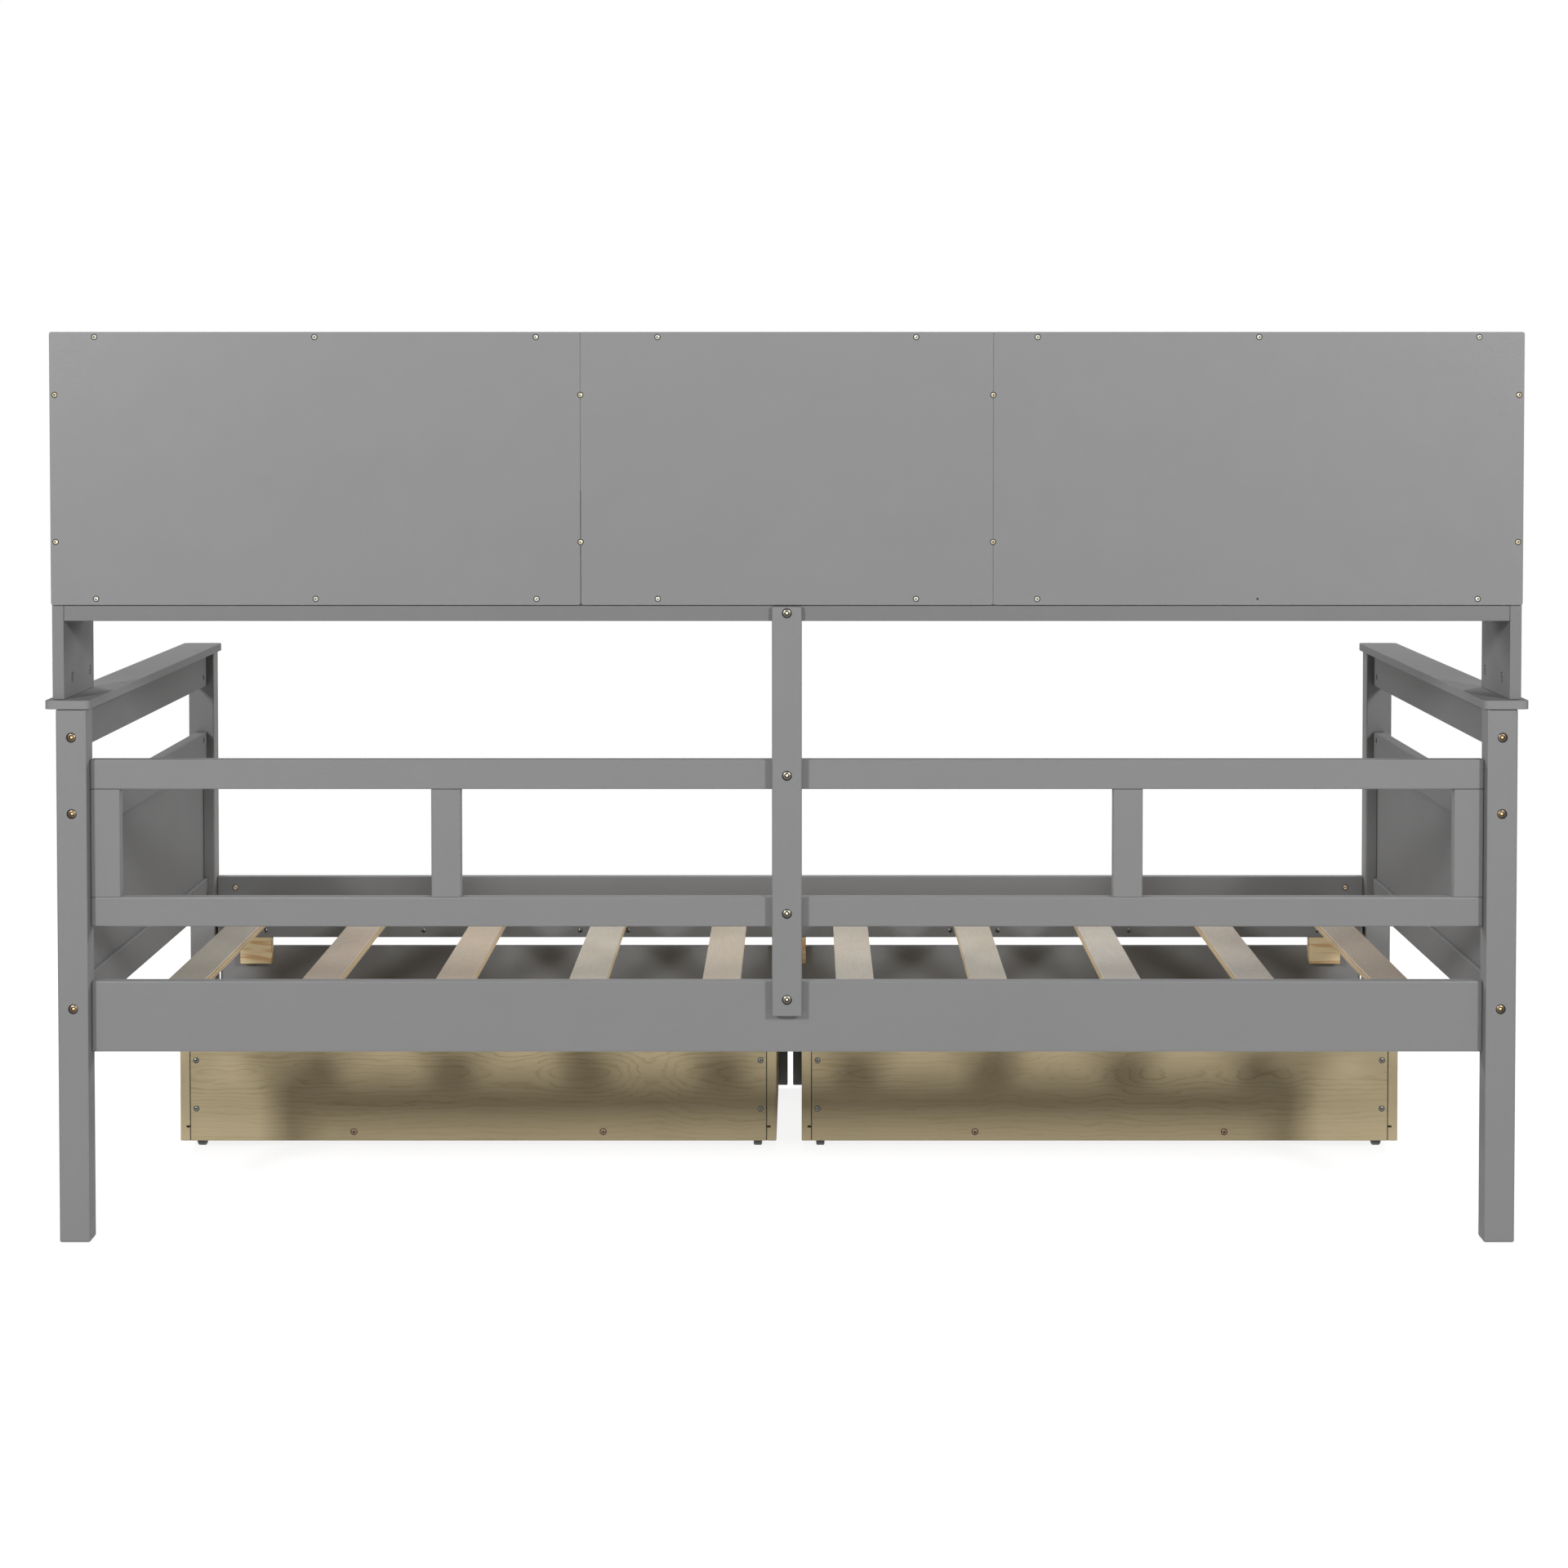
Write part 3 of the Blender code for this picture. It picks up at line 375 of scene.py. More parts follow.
finishes = {
    # grey boards: name, grain direction, then how far the grain shows, gloss and level
    "greyX": greyPaint("greyPaintAlongX", "X"),
    "greyY": greyPaint("greyPaintAlongY", "Y"),
    "greyZ": greyPaint("greyPaintAlongZ", "Z"),
    "greyBoard": greyPaint("greyPaintOnFibreboard", "X", 0.25),
    "greyArm": greyPaint("greyPaintOnArm", "Y", 0.8, paint["armGloss"]),
    # painted light: the caps get a lighter copy of the grey paint
    "greyCap": greyPaint("greyPaintOnCap", "Y", 0.6, paint["capGloss"], paint["capPaintedLight"]),
    # painted light: the hutch sides get their own lighter, duller copy of the grey paint, set for
    # how light falls on them
    "greySide": greyPaint("greyPaintOnHutchSide", "Z", 0.25, 0.12, 1.06),
    # painted shade: the hutch's rear rail is painted darker, for the shade under the back panels'
    # overhang
    "greyRail": greyPaint("greyPaintOnHutchRail", "X", 0.8, 0.40, 0.86),
    "camCover": greyPaint("greyCamCover", "Z", 0.2, paint["armGloss"], 0.95),
    "slat": birchPly("birchPly"),
    "foilX": mapleFoil("mapleFoilAlongX", "X"),
    "foilY": mapleFoil("mapleFoilAlongY", "Y"),
    "hardboard": hardboard("drawerBottomBoard"),
    "block": pineWood("pineStopBlock", 0.09, 0.010),
    "batten": pineWood("pineBatten", 0.25, 0.014),
    "wheel": plastic("greyWheelPlastic", (0.072, 0.072, 0.076), 0.42),
    "fork": plastic("blackCasterPlastic", (0.050, 0.050, 0.053), 0.36),
    # painted shadow: a near-black sheet put in holes, recesses and hairlines where shade falls
    "paintedShadow": plastic("shadowInHole", (0.012, 0.012, 0.012), 0.8),
    # metals: name, two tones and roughness
    "zinc": plated("dullZinc", (0.86, 0.83, 0.72), (0.64, 0.61, 0.52), 0.28),
    "yellowZinc": plated("yellowZinc", (0.78, 0.68, 0.46), (0.56, 0.49, 0.33), 0.28),
    "bronze": plated("bronzedBolt", (0.21, 0.15, 0.105), (0.14, 0.105, 0.075), 0.32),
    "steelBolt": plated("dullSteelBolt", (0.19, 0.18, 0.145), (0.13, 0.13, 0.10), 0.34),
    # bolt cores: the floors of the sockets, far brighter than the heads: part real metal colour,
    # part painted highlight
    "brassCoreGlint": plated("brassBoltCoreGlint", (0.92, 0.62, 0.26), (0.72, 0.44, 0.18), 0.30),
    "steelCoreGlint": plated("steelBoltCoreGlint", (0.86, 0.76, 0.48), (0.66, 0.56, 0.42), 0.30),
    "darkScrew": plated("darkScrew", (0.21, 0.205, 0.20), (0.14, 0.135, 0.13), 0.34),
    "brownScrew": plated("brownScrew", (0.26, 0.175, 0.12), (0.17, 0.115, 0.08), 0.34),
    "nut": plated("bronzedBarrelNut", (0.92, 0.70, 0.50), (0.70, 0.52, 0.36), 0.34),
    "knob": plated("satinNickel", (0.60, 0.59, 0.57), (0.55, 0.54, 0.52), 0.26),
}
print("finishes made:", len(finishes))

nodeLooks = (  # the first that is part of a node's name; + is its longest axis
    ("hutch_side", "greySide"), ("hutch_rear_rail", "greyRail"), ("hutch", "greyBoard"),
    ("arm_cap", "greyCap"), ("arm", "greyArm"), ("slat_cleat", "grey+"), ("slat", "slat"),
    ("wheel", "wheel"), ("front", "grey+"), ("drawer", "foil+"), ("", "grey+"),
)


def dressFrame():
    # each CAD node keeps its shape and takes the finish of its board
    for name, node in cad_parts.items():
        low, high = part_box(name)
        sizes = high - low
        longest = "XYZ"[max(range(3), key=lambda axis: sizes[axis])]
        look = next(look for part, look in nodeLooks if part in name)
        for slot in node.material_slots:
            slot.material = finishes[look.replace("+", longest)]


dressFrame()
print("frame dressed")

edge = {"rounding": 0.0018, "segments": 3, "sharp": 35}  # eased edges; sharp: degrees between faces
sides = (("left", 1), ("right", -1))  # each side of the bed and the way in from it


def meshOf(name, shape):
    mesh = bpy.data.meshes.new(name)
    shape.to_mesh(mesh)
    shape.free()
    return mesh


def addThing(name, data):
    thing = bpy.data.objects.new(name, data)
    bpy.context.scene.collection.objects.link(thing)
    return thing


def addPiece(name, shape, look, body="bed_frame", sharp=edge["sharp"]):
    bmesh.ops.recalc_face_normals(shape, faces=shape.faces)
    mesh = meshOf(name, shape)
    mesh.shade_smooth()
    mesh.set_sharp_from_angle(angle=math.radians(sharp))
    for face in mesh.polygons:  # squared faces stay flat up to their eased edges
        if max(abs(part) for part in face.normal) > 0.9999:
            face.use_smooth = False
    mesh.materials.append(finishes[look])
    piece = addThing(name, mesh)
    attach(piece, body)
    return piece


def addBoard(shape, low, high, rounding=edge["rounding"], segments=edge["segments"]):
    # a squared board between two corners
    middle = (Vector(low) + Vector(high)) / 2
    size = Vector(high) - Vector(low)
    place = Matrix.Translation(middle) @ Matrix.Diagonal((*size, 1))
    made = bmesh.ops.create_cube(shape, size=1, matrix=place)
    if rounding:
        edges = {edge for vertex in made["verts"] for edge in vertex.link_edges}
        bmesh.ops.bevel(shape, geom=list(edges), offset=rounding, segments=segments,
                        profile=0.5, affect="EDGES", clamp_overlap=True)


def ringRadius(form, size, angle):
    if form == "hex":  # size: from the middle to a flat
        return size / math.cos((angle + math.pi / 6) % (math.pi / 3) - math.pi / 6)
    if form in ("cross", "slot"):  # size: reach of an arm and half of its width
        turn = {"cross": math.pi / 2, "slot": math.pi}[form]
        near = (angle + turn / 2) % turn - turn / 2
        return min(size[0], size[1] / max(abs(math.sin(near)), 0.0001))
    return size


def addRings(shape, rings, place, axis, turn=0.0, steps=32):
    # loops of points along an axis, each with its form, size and height, skinned and closed
    grid = Vector(axis).to_track_quat("Z", "Y").to_matrix()
    loops = []
    for form, size, height in rings:
        loop = []
        for step in range(steps):
            angle = 2 * math.pi * step / steps
            radius, aim = ringRadius(form, size, angle), angle + turn
            point = Vector((radius * math.cos(aim), radius * math.sin(aim), height))
            loop.append(shape.verts.new(Vector(place) + grid @ point))
        loops.append(loop)
    for lower, upper in zip(loops, loops[1:]):
        for step in range(steps):
            after = (step + 1) % steps
            shape.faces.new((lower[step], lower[after], upper[after], upper[step]))
    shape.faces.new(loops[0])
    shape.faces.new(loops[-1])


def turned(*profile):  # the rings of a turned shape, from its radii and heights
    return [("round", radius, height) for radius, height in profile]


def addOutline(shape, points, depth, place, across, up):
    # a flat outline given by across and up, as thick as depth, centred on its place
    out = across.cross(up)
    faces = []
    for side in (-0.5, 0.5):
        centre = Vector(place) + out * (depth * side)
        corners = [shape.verts.new(centre + across * a + up * b) for a, b in points]
        shape.faces.new(corners)
        faces.append(corners)
    for step in range(len(points)):
        after = (step + 1) % len(points)
        shape.faces.new((faces[0][step], faces[0][after], faces[1][after], faces[1][step]))


screw = {  # parts of a round head, in shares of its radius and rise
    "domeAngles": (1.35, 1.2, 1.05, 0.9, 0.75, 0.62), "collar": 0.97, "collarSink": 0.0004,
    "cross": (0.50, 0.15), "crossFoot": (0.40, 0.10), "crossTop": 0.97, "crossFloor": 0.25,
    "shadow": (0.46, 0.135), "shadowHeights": (0.20, 0.90),
    "ringInside": 0.9, "ringHeights": (-0.0003, 0.00006, 0.00012),
    "steps": 48, "sharp": 60,
}


def panScrew(radius, rise):
    # rings of a round-head screw with a cross recess
    rim = math.cos(screw["domeAngles"][0])
    dome = [(radius * math.sin(angle), rise * (math.cos(angle) - rim) / (1 - rim))
            for angle in screw["domeAngles"]]
    cross, foot = (tuple(radius * part for part in screw[key]) for key in ("cross", "crossFoot"))
    return turned((radius * screw["collar"], -screw["collarSink"]), *dome) + [
        ("cross", cross, rise * screw["crossTop"]), ("cross", foot, rise * screw["crossFloor"])]


def scatterScrews(name, places, axis, size, look, seed, body="bed_frame"):
    # one mesh of screws, each turned its own way, and one of the shadows in and round them;
    # size: radius, rise and width of the dark ring round the head
    chance = random.Random(seed)
    shape, shadows = bmesh.new(), bmesh.new()
    radius, rise, ring = size
    recess = tuple(radius * part for part in screw["shadow"])
    for place in places:
        turn = chance.uniform(0, math.pi / 2)
        addRings(shape, panScrew(radius, rise), place, axis, turn, screw["steps"])
        addRings(shadows, [("cross", recess, rise * height) for height in screw["shadowHeights"]],
                 place, axis, turn, screw["steps"])
        if ring:
            radii = (radius + ring, radius + ring, radius * screw["ringInside"])
            addRings(shadows, turned(*zip(radii, screw["ringHeights"])), place, axis)
    addPiece(name + "Shadows", shadows, "paintedShadow", body)
    addPiece(name, shape, look, body, screw["sharp"])


guard = {"railHeight": 0.041, "stileWidth": 0.041, "jointGap": 0.00025, "endReach": 0.0022}


def addGuard():
    node = "back_lower_rail_and_stiles"
    low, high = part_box(node)
    railTop = low.z + guard["railHeight"]
    shape = bmesh.new()
    addBoard(shape, low, (high.x, high.y, railTop))
    rail = addPiece("guardLowerRail", shape, "greyX")
    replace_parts(rail, node)
    half = guard["stileWidth"] / 2
    foot = railTop + guard["jointGap"]
    endMiddle = high.x - half
    for number, middle in enumerate((-endMiddle, -endMiddle / 2, endMiddle / 2, endMiddle)):
        shape = bmesh.new()
        addBoard(shape, (middle - half, low.y, foot), (middle + half, high.y, high.z))
        # the ends are cut square, so that the joints close to a hairline
        for vertex in shape.verts:
            for end in (foot, high.z):
                if abs(vertex.co.z - end) < guard["endReach"]:
                    vertex.co.z = end
        bmesh.ops.remove_doubles(shape, verts=shape.verts, dist=0.00001)
        stile = addPiece("guardStile%d" % (number + 1), shape, "greyZ")
        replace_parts(stile, node)


cleat = {
    "thick": 0.0197, "height": 0.0375,
    "blockWidth": 0.052, "blockMiddles": (-0.892, 0.0, 0.892),
    "blockRounding": 0.0012, "blockGap": 0.0001,
    "screw": (0.0042, 0.0012, 0.0), "screwHeight": 0.2710,
    "screwPlaces": (-0.880, -0.565, -0.346, -0.267, 0.271, 0.350, 0.612, 0.876),
}


def addFrontCleat():
    node = "slat_cleat_front"
    low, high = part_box(node)
    bottom = high.z - cleat["height"]
    shape = bmesh.new()
    addBoard(shape, (low.x, high.y - cleat["thick"], bottom), high)
    rail = addPiece("frontCleat", shape, "greyX")
    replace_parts(rail, node)
    half = cleat["blockWidth"] / 2
    for number, middle in enumerate(cleat["blockMiddles"]):
        shape = bmesh.new()
        addBoard(shape, (middle - half, low.y, low.z),
                 (middle + half, high.y, bottom - cleat["blockGap"]), cleat["blockRounding"])
        block = addPiece("stopBlock%d" % (number + 1), shape, "block")
        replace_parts(block, node)
    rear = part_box("slat_cleat_rear")[0].y
    for name, face, way, seed in (("front", high.y, 1, 3), ("rear", rear, -1, 4)):
        places = [(x, face, cleat["screwHeight"]) for x in cleat["screwPlaces"]]
        scatterScrews(name + "CleatScrews", places, (0, way, 0), cleat["screw"], "darkScrew", seed)


slat = {"count": 10, "screw": (0.0038, 0.0005, 0.0), "endInset": 0.011, "sideStep": 0.012}


def addSlatScrews():
    places = []
    for number in range(slat["count"]):
        low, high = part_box("slat_%02d" % (number + 1))
        middle = (low.x + high.x) / 2
        step = slat["sideStep"] * (1 if number % 2 else -1)
        places += [(middle + step, low.y + slat["endInset"], high.z),
                   (middle - step, high.y - slat["endInset"], high.z)]
    scatterScrews("slatScrews", places, (0, 0, 1), slat["screw"], "darkScrew", 5)


bolt = {
    "postHeights": (0.697, 0.592, 0.323), "sideHeight": 0.340, "strapDrop": 0.009,
    "radius": 0.0060, "pocket": 0.0069, "pocketDepth": 0.006,
    "faceDepth": 0.0010,  # of the head's face in its pocket
    "dome": (0.985, 0.94, 0.86, 0.76, 0.66, 0.56), "domeRise": 0.0012,  # shares of the radius
    "socket": 0.0022, "rim": 0.0030, "steps": 36, "sharp": 50,
    "core": ((0.90, -0.0010), (0.50, -0.0006), (0.15, -0.0005)),  # shares of the socket
}


def addBoltHead(meshes, place, axis, turn):
    # place is the mouth of the pocket, axis points out of it
    heads, coreGlints, shadows = meshes
    radius, rim, socket, pocket = (bolt[key] for key in ("radius", "rim", "socket", "pocket"))
    floor, face = -bolt["pocketDepth"] + 0.0001, -bolt["faceDepth"]

    def add(mesh, rings, twist=turn):
        addRings(mesh, rings, place, axis, twist, bolt["steps"])

    dome = [(radius * part, face - bolt["domeRise"] * part ** 3) for part in bolt["dome"]]
    stem = [(radius * 0.98, floor), (radius, floor + 0.0005), (radius, face - 0.0016)]
    add(heads, turned(*stem, *dome) + [("hex", rim, face), ("hex", rim, face - 0.0012)])
    add(shadows, [("hex", rim * 0.98, face - 0.0014), ("hex", rim * 0.98, face - 0.0002),
                  ("hex", socket, face - 0.0009), ("hex", socket, face - 0.0012)])
    gap = turned((pocket, floor), (pocket, face - 0.0004), (radius * 0.97, face - 0.0010))
    add(shadows, gap, 0)
    # the socket's floor, much brighter than the head: part real colour, part painted highlight
    core = turned(*((socket * part, face + height) for part, height in bolt["core"]))
    add(coreGlints, [("hex", socket * 0.95, face - 0.0013)] + core)


def finishBolts(name, meshes, looks):
    for part, mesh, look in zip(("Heads", "CoreGlints", "Shadows"), meshes, (*looks, "paintedShadow")):
        addPiece(name + part, mesh, look, "bed_frame", bolt["sharp"])


def addBolts():
    chance = random.Random(7)
    meshes = [bmesh.new() for part in range(3)]
    for end in ("front", "rear"):
        railLow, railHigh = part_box("side_rail_" + end)
        railMiddle = (railLow.y + railHigh.y) / 2
        for side in ("left", "right"):
            low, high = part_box("post_%s_%s" % (end, side))
            middle = (low.x + high.x) / 2
            face, out = (high.y, 1) if end == "rear" else (low.y, -1)
            for height in bolt["postHeights"]:
                addBoltHead(meshes, (middle, face, height), (0, out, 0), chance.uniform(0, 1))
            flank, way = (high.x, 1) if side == "right" else (low.x, -1)
            addBoltHead(meshes, (flank, railMiddle, bolt["sideHeight"]), (way, 0, 0),
                        chance.uniform(0, 1))
    finishBolts("bolt", meshes, ("bronze", "brassCoreGlint"))
    meshes = [bmesh.new() for part in range(3)]
    low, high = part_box("back_centre_strap")
    topLow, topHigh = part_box("back_top_rail")
    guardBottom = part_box("back_lower_rail_and_stiles")[0].z
    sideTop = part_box("side_rail_rear")[1].z
    for height in (high.z - bolt["strapDrop"], (topLow.z + topHigh.z) / 2,
                   guardBottom + guard["railHeight"] / 2, (low.z + sideTop) / 2):
        addBoltHead(meshes, (0, high.y, height), (0, 1, 0), chance.uniform(0, 1))
    finishBolts("strapBolt", meshes, ("steelBolt", "steelCoreGlint"))


nut = {
    "radius": 0.0047, "face": 0.0038, "slot": 0.0007,  # bore, end of the nut, half of its slot
    "inset": 0.0300, "sink": 0.0016, "deep": 0.0100, "steps": 40,
}


def addBarrelNuts():
    # steel barrel nuts with a screwdriver slot, in the inner faces of the rails
    chance = random.Random(11)
    shape, shadows = bmesh.new(), bmesh.new()
    radius, face, sink, deep = (nut[key] for key in ("radius", "face", "sink", "deep"))
    slot = (face * 0.86, nut["slot"])
    inner = (slot[0] * 0.96, slot[1] * 0.9)

    def addNut(place, axis):
        turn = chance.uniform(0, math.pi)
        end = turned((face, -deep), (face, -sink - 0.0004), (face * 0.92, -sink))
        addRings(shape, end + [("slot", slot, -sink), ("slot", slot, -sink - 0.0014)],
                 place, axis, turn, nut["steps"])
        addRings(shadows, [("slot", inner, -sink - 0.0016), ("slot", inner, -sink - 0.0003)],
                 place, axis, turn, nut["steps"])
        addRings(shadows, turned((radius, -deep - 0.0002), (radius, -sink - 0.0006),
                                 (face * 0.95, -sink - 0.0010)), place, axis, 0, nut["steps"])

    for side, inward in sides:
        for rail, height in zip(("top", "middle", "lower"), bolt["postHeights"]):
            low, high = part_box("arm_%s_rail_%s" % (rail, side))
            inside = high.x if inward > 0 else low.x
            for y in (low.y + nut["inset"], high.y - nut["inset"]):
                addNut((inside, y, height), (inward, 0, 0))
    for end, inward in (("front", 1), ("rear", -1)):
        low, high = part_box("side_rail_" + end)
        inside = high.y if inward > 0 else low.y
        for x in (low.x + nut["inset"], high.x - nut["inset"]):
            addNut((x, inside, bolt["sideHeight"]), (0, inward, 0))
    addPiece("barrelNuts", shape, "nut")
    addPiece("barrelNutShadows", shadows, "paintedShadow")


armJointShadow = {"width": 0.0007, "rise": 0.0002, "inset": 0.0004}  # painted shadow: dark lines in the joints beside the panels


def addArmJointShadows():
    shape = bmesh.new()
    rise, half, inset = armJointShadow["rise"], armJointShadow["width"] / 2, armJointShadow["inset"]
    for side, inward in sides:
        panelLow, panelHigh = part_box("arm_panel_" + side)
        middleLow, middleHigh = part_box("arm_middle_rail_" + side)
        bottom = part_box("arm_lower_rail_" + side)[1].z
        for face in (panelHigh.x, panelLow.x)[::inward]:  # the inner face first
            for y in (middleLow.y + inset, middleHigh.y - inset):
                low, high = (face - rise, y - half, bottom), (face + rise, y + half, middleLow.z)
                addBoard(shape, low, high, 0)
    addPiece("armPanelShadowLines", shape, "paintedShadow")


backScrew = {
    "size": (0.0034, 0.0016, 0.0009),
    "rows": (1.245, 0.887), "rowPlaces": (0.1766, 0.3425, 0.6447, 0.9452),
    "columns": (0.282, 1.000), "columnHeights": (1.166, 0.965),
    "emptyHole": (-0.6440, 0.887),  # this screw was never put in
    # rings of the painted shadow in the empty hole
    "hole": ((0.0016, -0.0004), (0.0016, 0.00012), (0.0012, 0.00014)),
}


def addBackScrews():
    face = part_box("hutch_back_centre")[1].y
    emptyX, emptyZ = backScrew["emptyHole"]
    silver = [(side * x, face, z) for z in backScrew["rows"] for x in backScrew["rowPlaces"]
              for side in (-1, 1) if z != emptyZ or abs(side * x - emptyX) > 0.001]
    golden = [(side * x, face, z) for x in backScrew["columns"] for z in backScrew["columnHeights"]
              for side in (-1, 1)]
    scatterScrews("backPanelScrews", silver, (0, 1, 0), backScrew["size"], "zinc", 13)
    scatterScrews("backPanelEdgeScrews", golden, (0, 1, 0), backScrew["size"], "yellowZinc", 14)


seam = {
    "width": 0.0009, "sink": 0.0004,  # of what shows in the hairline between two boards
    "boardGap": 0.00015,  # half of the hairline
    "gapes": 0.42,  # share of the hutch's +X seam, from below, that stands open and is filled with painted shadow
}


def addSeam(shape, middle, low, high):
    # middle of the hairline in x, low and high are corners of a board beside it
    half, inset = seam["width"] / 2, seam["sink"]
    addBoard(shape, (middle - half, low.y + 0.001, low.z + inset),
             (middle + half, high.y - inset, high.z - inset), 0)


def addBackSeams():
    closed, dark = bmesh.new(), bmesh.new()
    low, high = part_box("hutch_back_centre")
    split = low.z + (high.z - low.z) * seam["gapes"]
    gap = seam["boardGap"]
    addSeam(closed, low.x - gap, low, high)
    addSeam(closed, high.x + gap, Vector((low.x, low.y, split)), high)
    # painted shadow: a near-black strip in the open part of the seam, and a dark disc in the empty
    # screw hole
    addSeam(dark, high.x + gap, low, Vector((high.x, high.y, split)))
    x, z = backScrew["emptyHole"]
    addRings(dark, turned(*backScrew["hole"]), (x, high.y, z), (0, 1, 0), 0, 20)
    addPiece("backPanelSeams", closed, "greyBoard")
    addPiece("backPanelGapAndEmptyHole", dark, "paintedShadow")
    for body in ("drawer_left", "drawer_right"):
        shape = bmesh.new()
        low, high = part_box(body + "_back")
        # painted shadow: near-black strips in the hairlines beside each drawer's back
        for middle in (low.x - gap, high.x + gap):
            addSeam(shape, middle, low, high)
        addPiece(body + "BackSeamShadows", shape, "paintedShadow", body)


fitting = {
    "camRadius": 0.0072, "camSink": 0.0008, "camDeep": 0.0100,
    "camHeight": 0.7751, "camDepths": (0.480, 0.360), "camSteps": 48,
    "plugRadius": 0.0050, "plugRise": 0.0005, "plugX": 0.965, "plugDepths": (0.250, -0.050, -0.355),
}


def addHutchFittings():
    shape, rimShadows = bmesh.new(), bmesh.new()
    keys = ("camRadius", "camSink", "camDeep", "camSteps")
    radius, sink, deep, steps = (fitting[key] for key in keys)
    cover = turned((radius * 0.76, -deep), (radius * 0.76, -sink), (radius * 0.70, -sink * 0.4),
                   (radius * 0.50, -sink * 0.3))
    cover += [("cross", (radius * 0.40, radius * 0.12), -sink * 0.3),
              ("cross", (radius * 0.36, radius * 0.10), -sink - 0.0018)]
    # painted shadow in the recess round each cover, deepest at its rim
    rim = turned((radius, -deep - 0.0002), (radius, -sink * 1.6), (radius * 0.72, -sink * 1.8))
    for side, inward in sides:
        low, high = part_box("hutch_side_" + side)
        face = high.x if inward > 0 else low.x
        for y in fitting["camDepths"]:
            place, axis = (face, y, fitting["camHeight"]), (inward, 0, 0)
            addRings(shape, cover, place, axis, 0.4, steps)
            addRings(rimShadows, rim, place, axis, 0, steps)
    addPiece("hutchCams", shape, "camCover")
    addPiece("hutchCamRimShadows", rimShadows, "paintedShadow")
    shape = bmesh.new()
    radius, rise = fitting["plugRadius"], fitting["plugRise"]
    plug = turned((radius, -0.0003), (radius, rise * 0.4), (radius * 0.85, rise * 0.8),
                  (radius * 0.5, rise))
    for side, sign in (("left", -1), ("right", 1)):
        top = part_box("arm_cap_" + side)[1].z
        for y in fitting["plugDepths"]:
            addRings(shape, plug, (sign * fitting["plugX"], y, top), (0, 0, 1))
    addPiece("capPlugs", shape, "greyBoard")


drawer = {
    "frontThick": 0.015, "grooveDepth": 0.006, "grooveBelow": 0.0033, "grooveAbove": 0.0003,
    "grooveSide": 0.0004, "overrun": 0.002,
    "knobSpacing": 0.440, "knobScrew": (0.0040, 0.0016, 0.0), "knobSteps": 48,
    "knobProfile": (  # radii and heights, from the front board out
        (0.0095, 0.0001), (0.0095, 0.0012), (0.0075, 0.0022), (0.0070, 0.0080), (0.0078, 0.0115),
        (0.0105, 0.0136), (0.0145, 0.0158), (0.0158, 0.0182), (0.0159, 0.0204), (0.0152, 0.0222),
        (0.0128, 0.0240), (0.0090, 0.0252), (0.0045, 0.0258), (0.0008, 0.0260)),
    "panelThick": 0.003, "panelRounding": 0.0003,
    "battenSpacing": 0.385, "battenWidth": 0.030, "battenHeight": 0.018, "battenRounding": 0.0010,
    "battenGap": 0.0003, "stackGap": 0.0001,
    "screw": (0.0038, 0.0009, 0.0008), "screwInset": 0.0092, "screwHeights": (0.138, 0.063),
    "battenScrew": (0.0045, 0.0010, 0.0008), "battenScrewHeight": 0.0270,
}
caster = {
    "plateThick": 0.002, "plateWidth": 0.026, "plateLength": 0.029, "plateRounding": 0.0006,
    "cheekThick": 0.002, "cheekMiddle": 0.0083, "cheekRadius": 0.006, "cheekLap": 0.0004,
    "cheekHalf": 0.0125, "cheekWaist": 0.0118, "cheekDrop": 0.0030,
    "cheekArc": (1.08, 1.92), "cheekSteps": 12,  # the round end, in half turns
    "axleRadius": 0.0025, "axleReach": 0.0093, "rivetRadius": 0.0034,
    "rivet": ((1.0, 0.0), (1.0, 0.0003), (0.7, 0.0008), (0.3, 0.0010)), "steps": 24,
}


def cutGroove(piece, low, high):
    # takes a box out of a piece and keeps the result
    shape = bmesh.new()
    addBoard(shape, low, high, 0)
    cutter = addThing("groove", meshOf("groove", shape))
    cut = piece.modifiers.new("groove", "BOOLEAN")
    cut.operation, cut.solver, cut.object = "DIFFERENCE", "EXACT", cutter
    bpy.context.view_layer.update()
    graph = bpy.context.evaluated_depsgraph_get()
    result = bpy.data.meshes.new_from_object(piece.evaluated_get(graph))
    piece.modifiers.clear()
    piece.data = result
    bpy.data.objects.remove(cutter, do_unlink=True)


def addDrawerFront(body):
    node = body + "_front"
    low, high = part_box(node)
    face = high.y - drawer["frontThick"]
    shape = bmesh.new()
    addBoard(shape, (low.x, face, low.z), high)
    front = addPiece(body + "FrontBoard", shape, "greyX", body)
    panelLow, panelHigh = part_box(body + "_bottom")
    cutGroove(front, (panelLow.x - drawer["grooveSide"], high.y - drawer["grooveDepth"],
                      panelHigh.z - drawer["grooveBelow"]),
              (panelHigh.x + drawer["grooveSide"], high.y + drawer["overrun"],
               panelHigh.z + drawer["grooveAbove"]))
    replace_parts(front, node)
    backLow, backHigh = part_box(body + "_back")
    middle = (backLow.x + backHigh.x) / 2
    height = (low.z + high.z) / 2
    knobs, heads = bmesh.new(), []
    for step in (-0.5, 0.5):
        x = middle + step * drawer["knobSpacing"]
        addRings(knobs, turned(*drawer["knobProfile"]), (x, face, height), (0, -1, 0), 0,
                 drawer["knobSteps"])
        heads.append((x, high.y, height))
    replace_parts(addPiece(body + "Knobs", knobs, "knob", body, bolt["sharp"]), node)
    scatterScrews(body + "KnobScrews", heads, (0, 1, 0), drawer["knobScrew"], "zinc", 17, body)


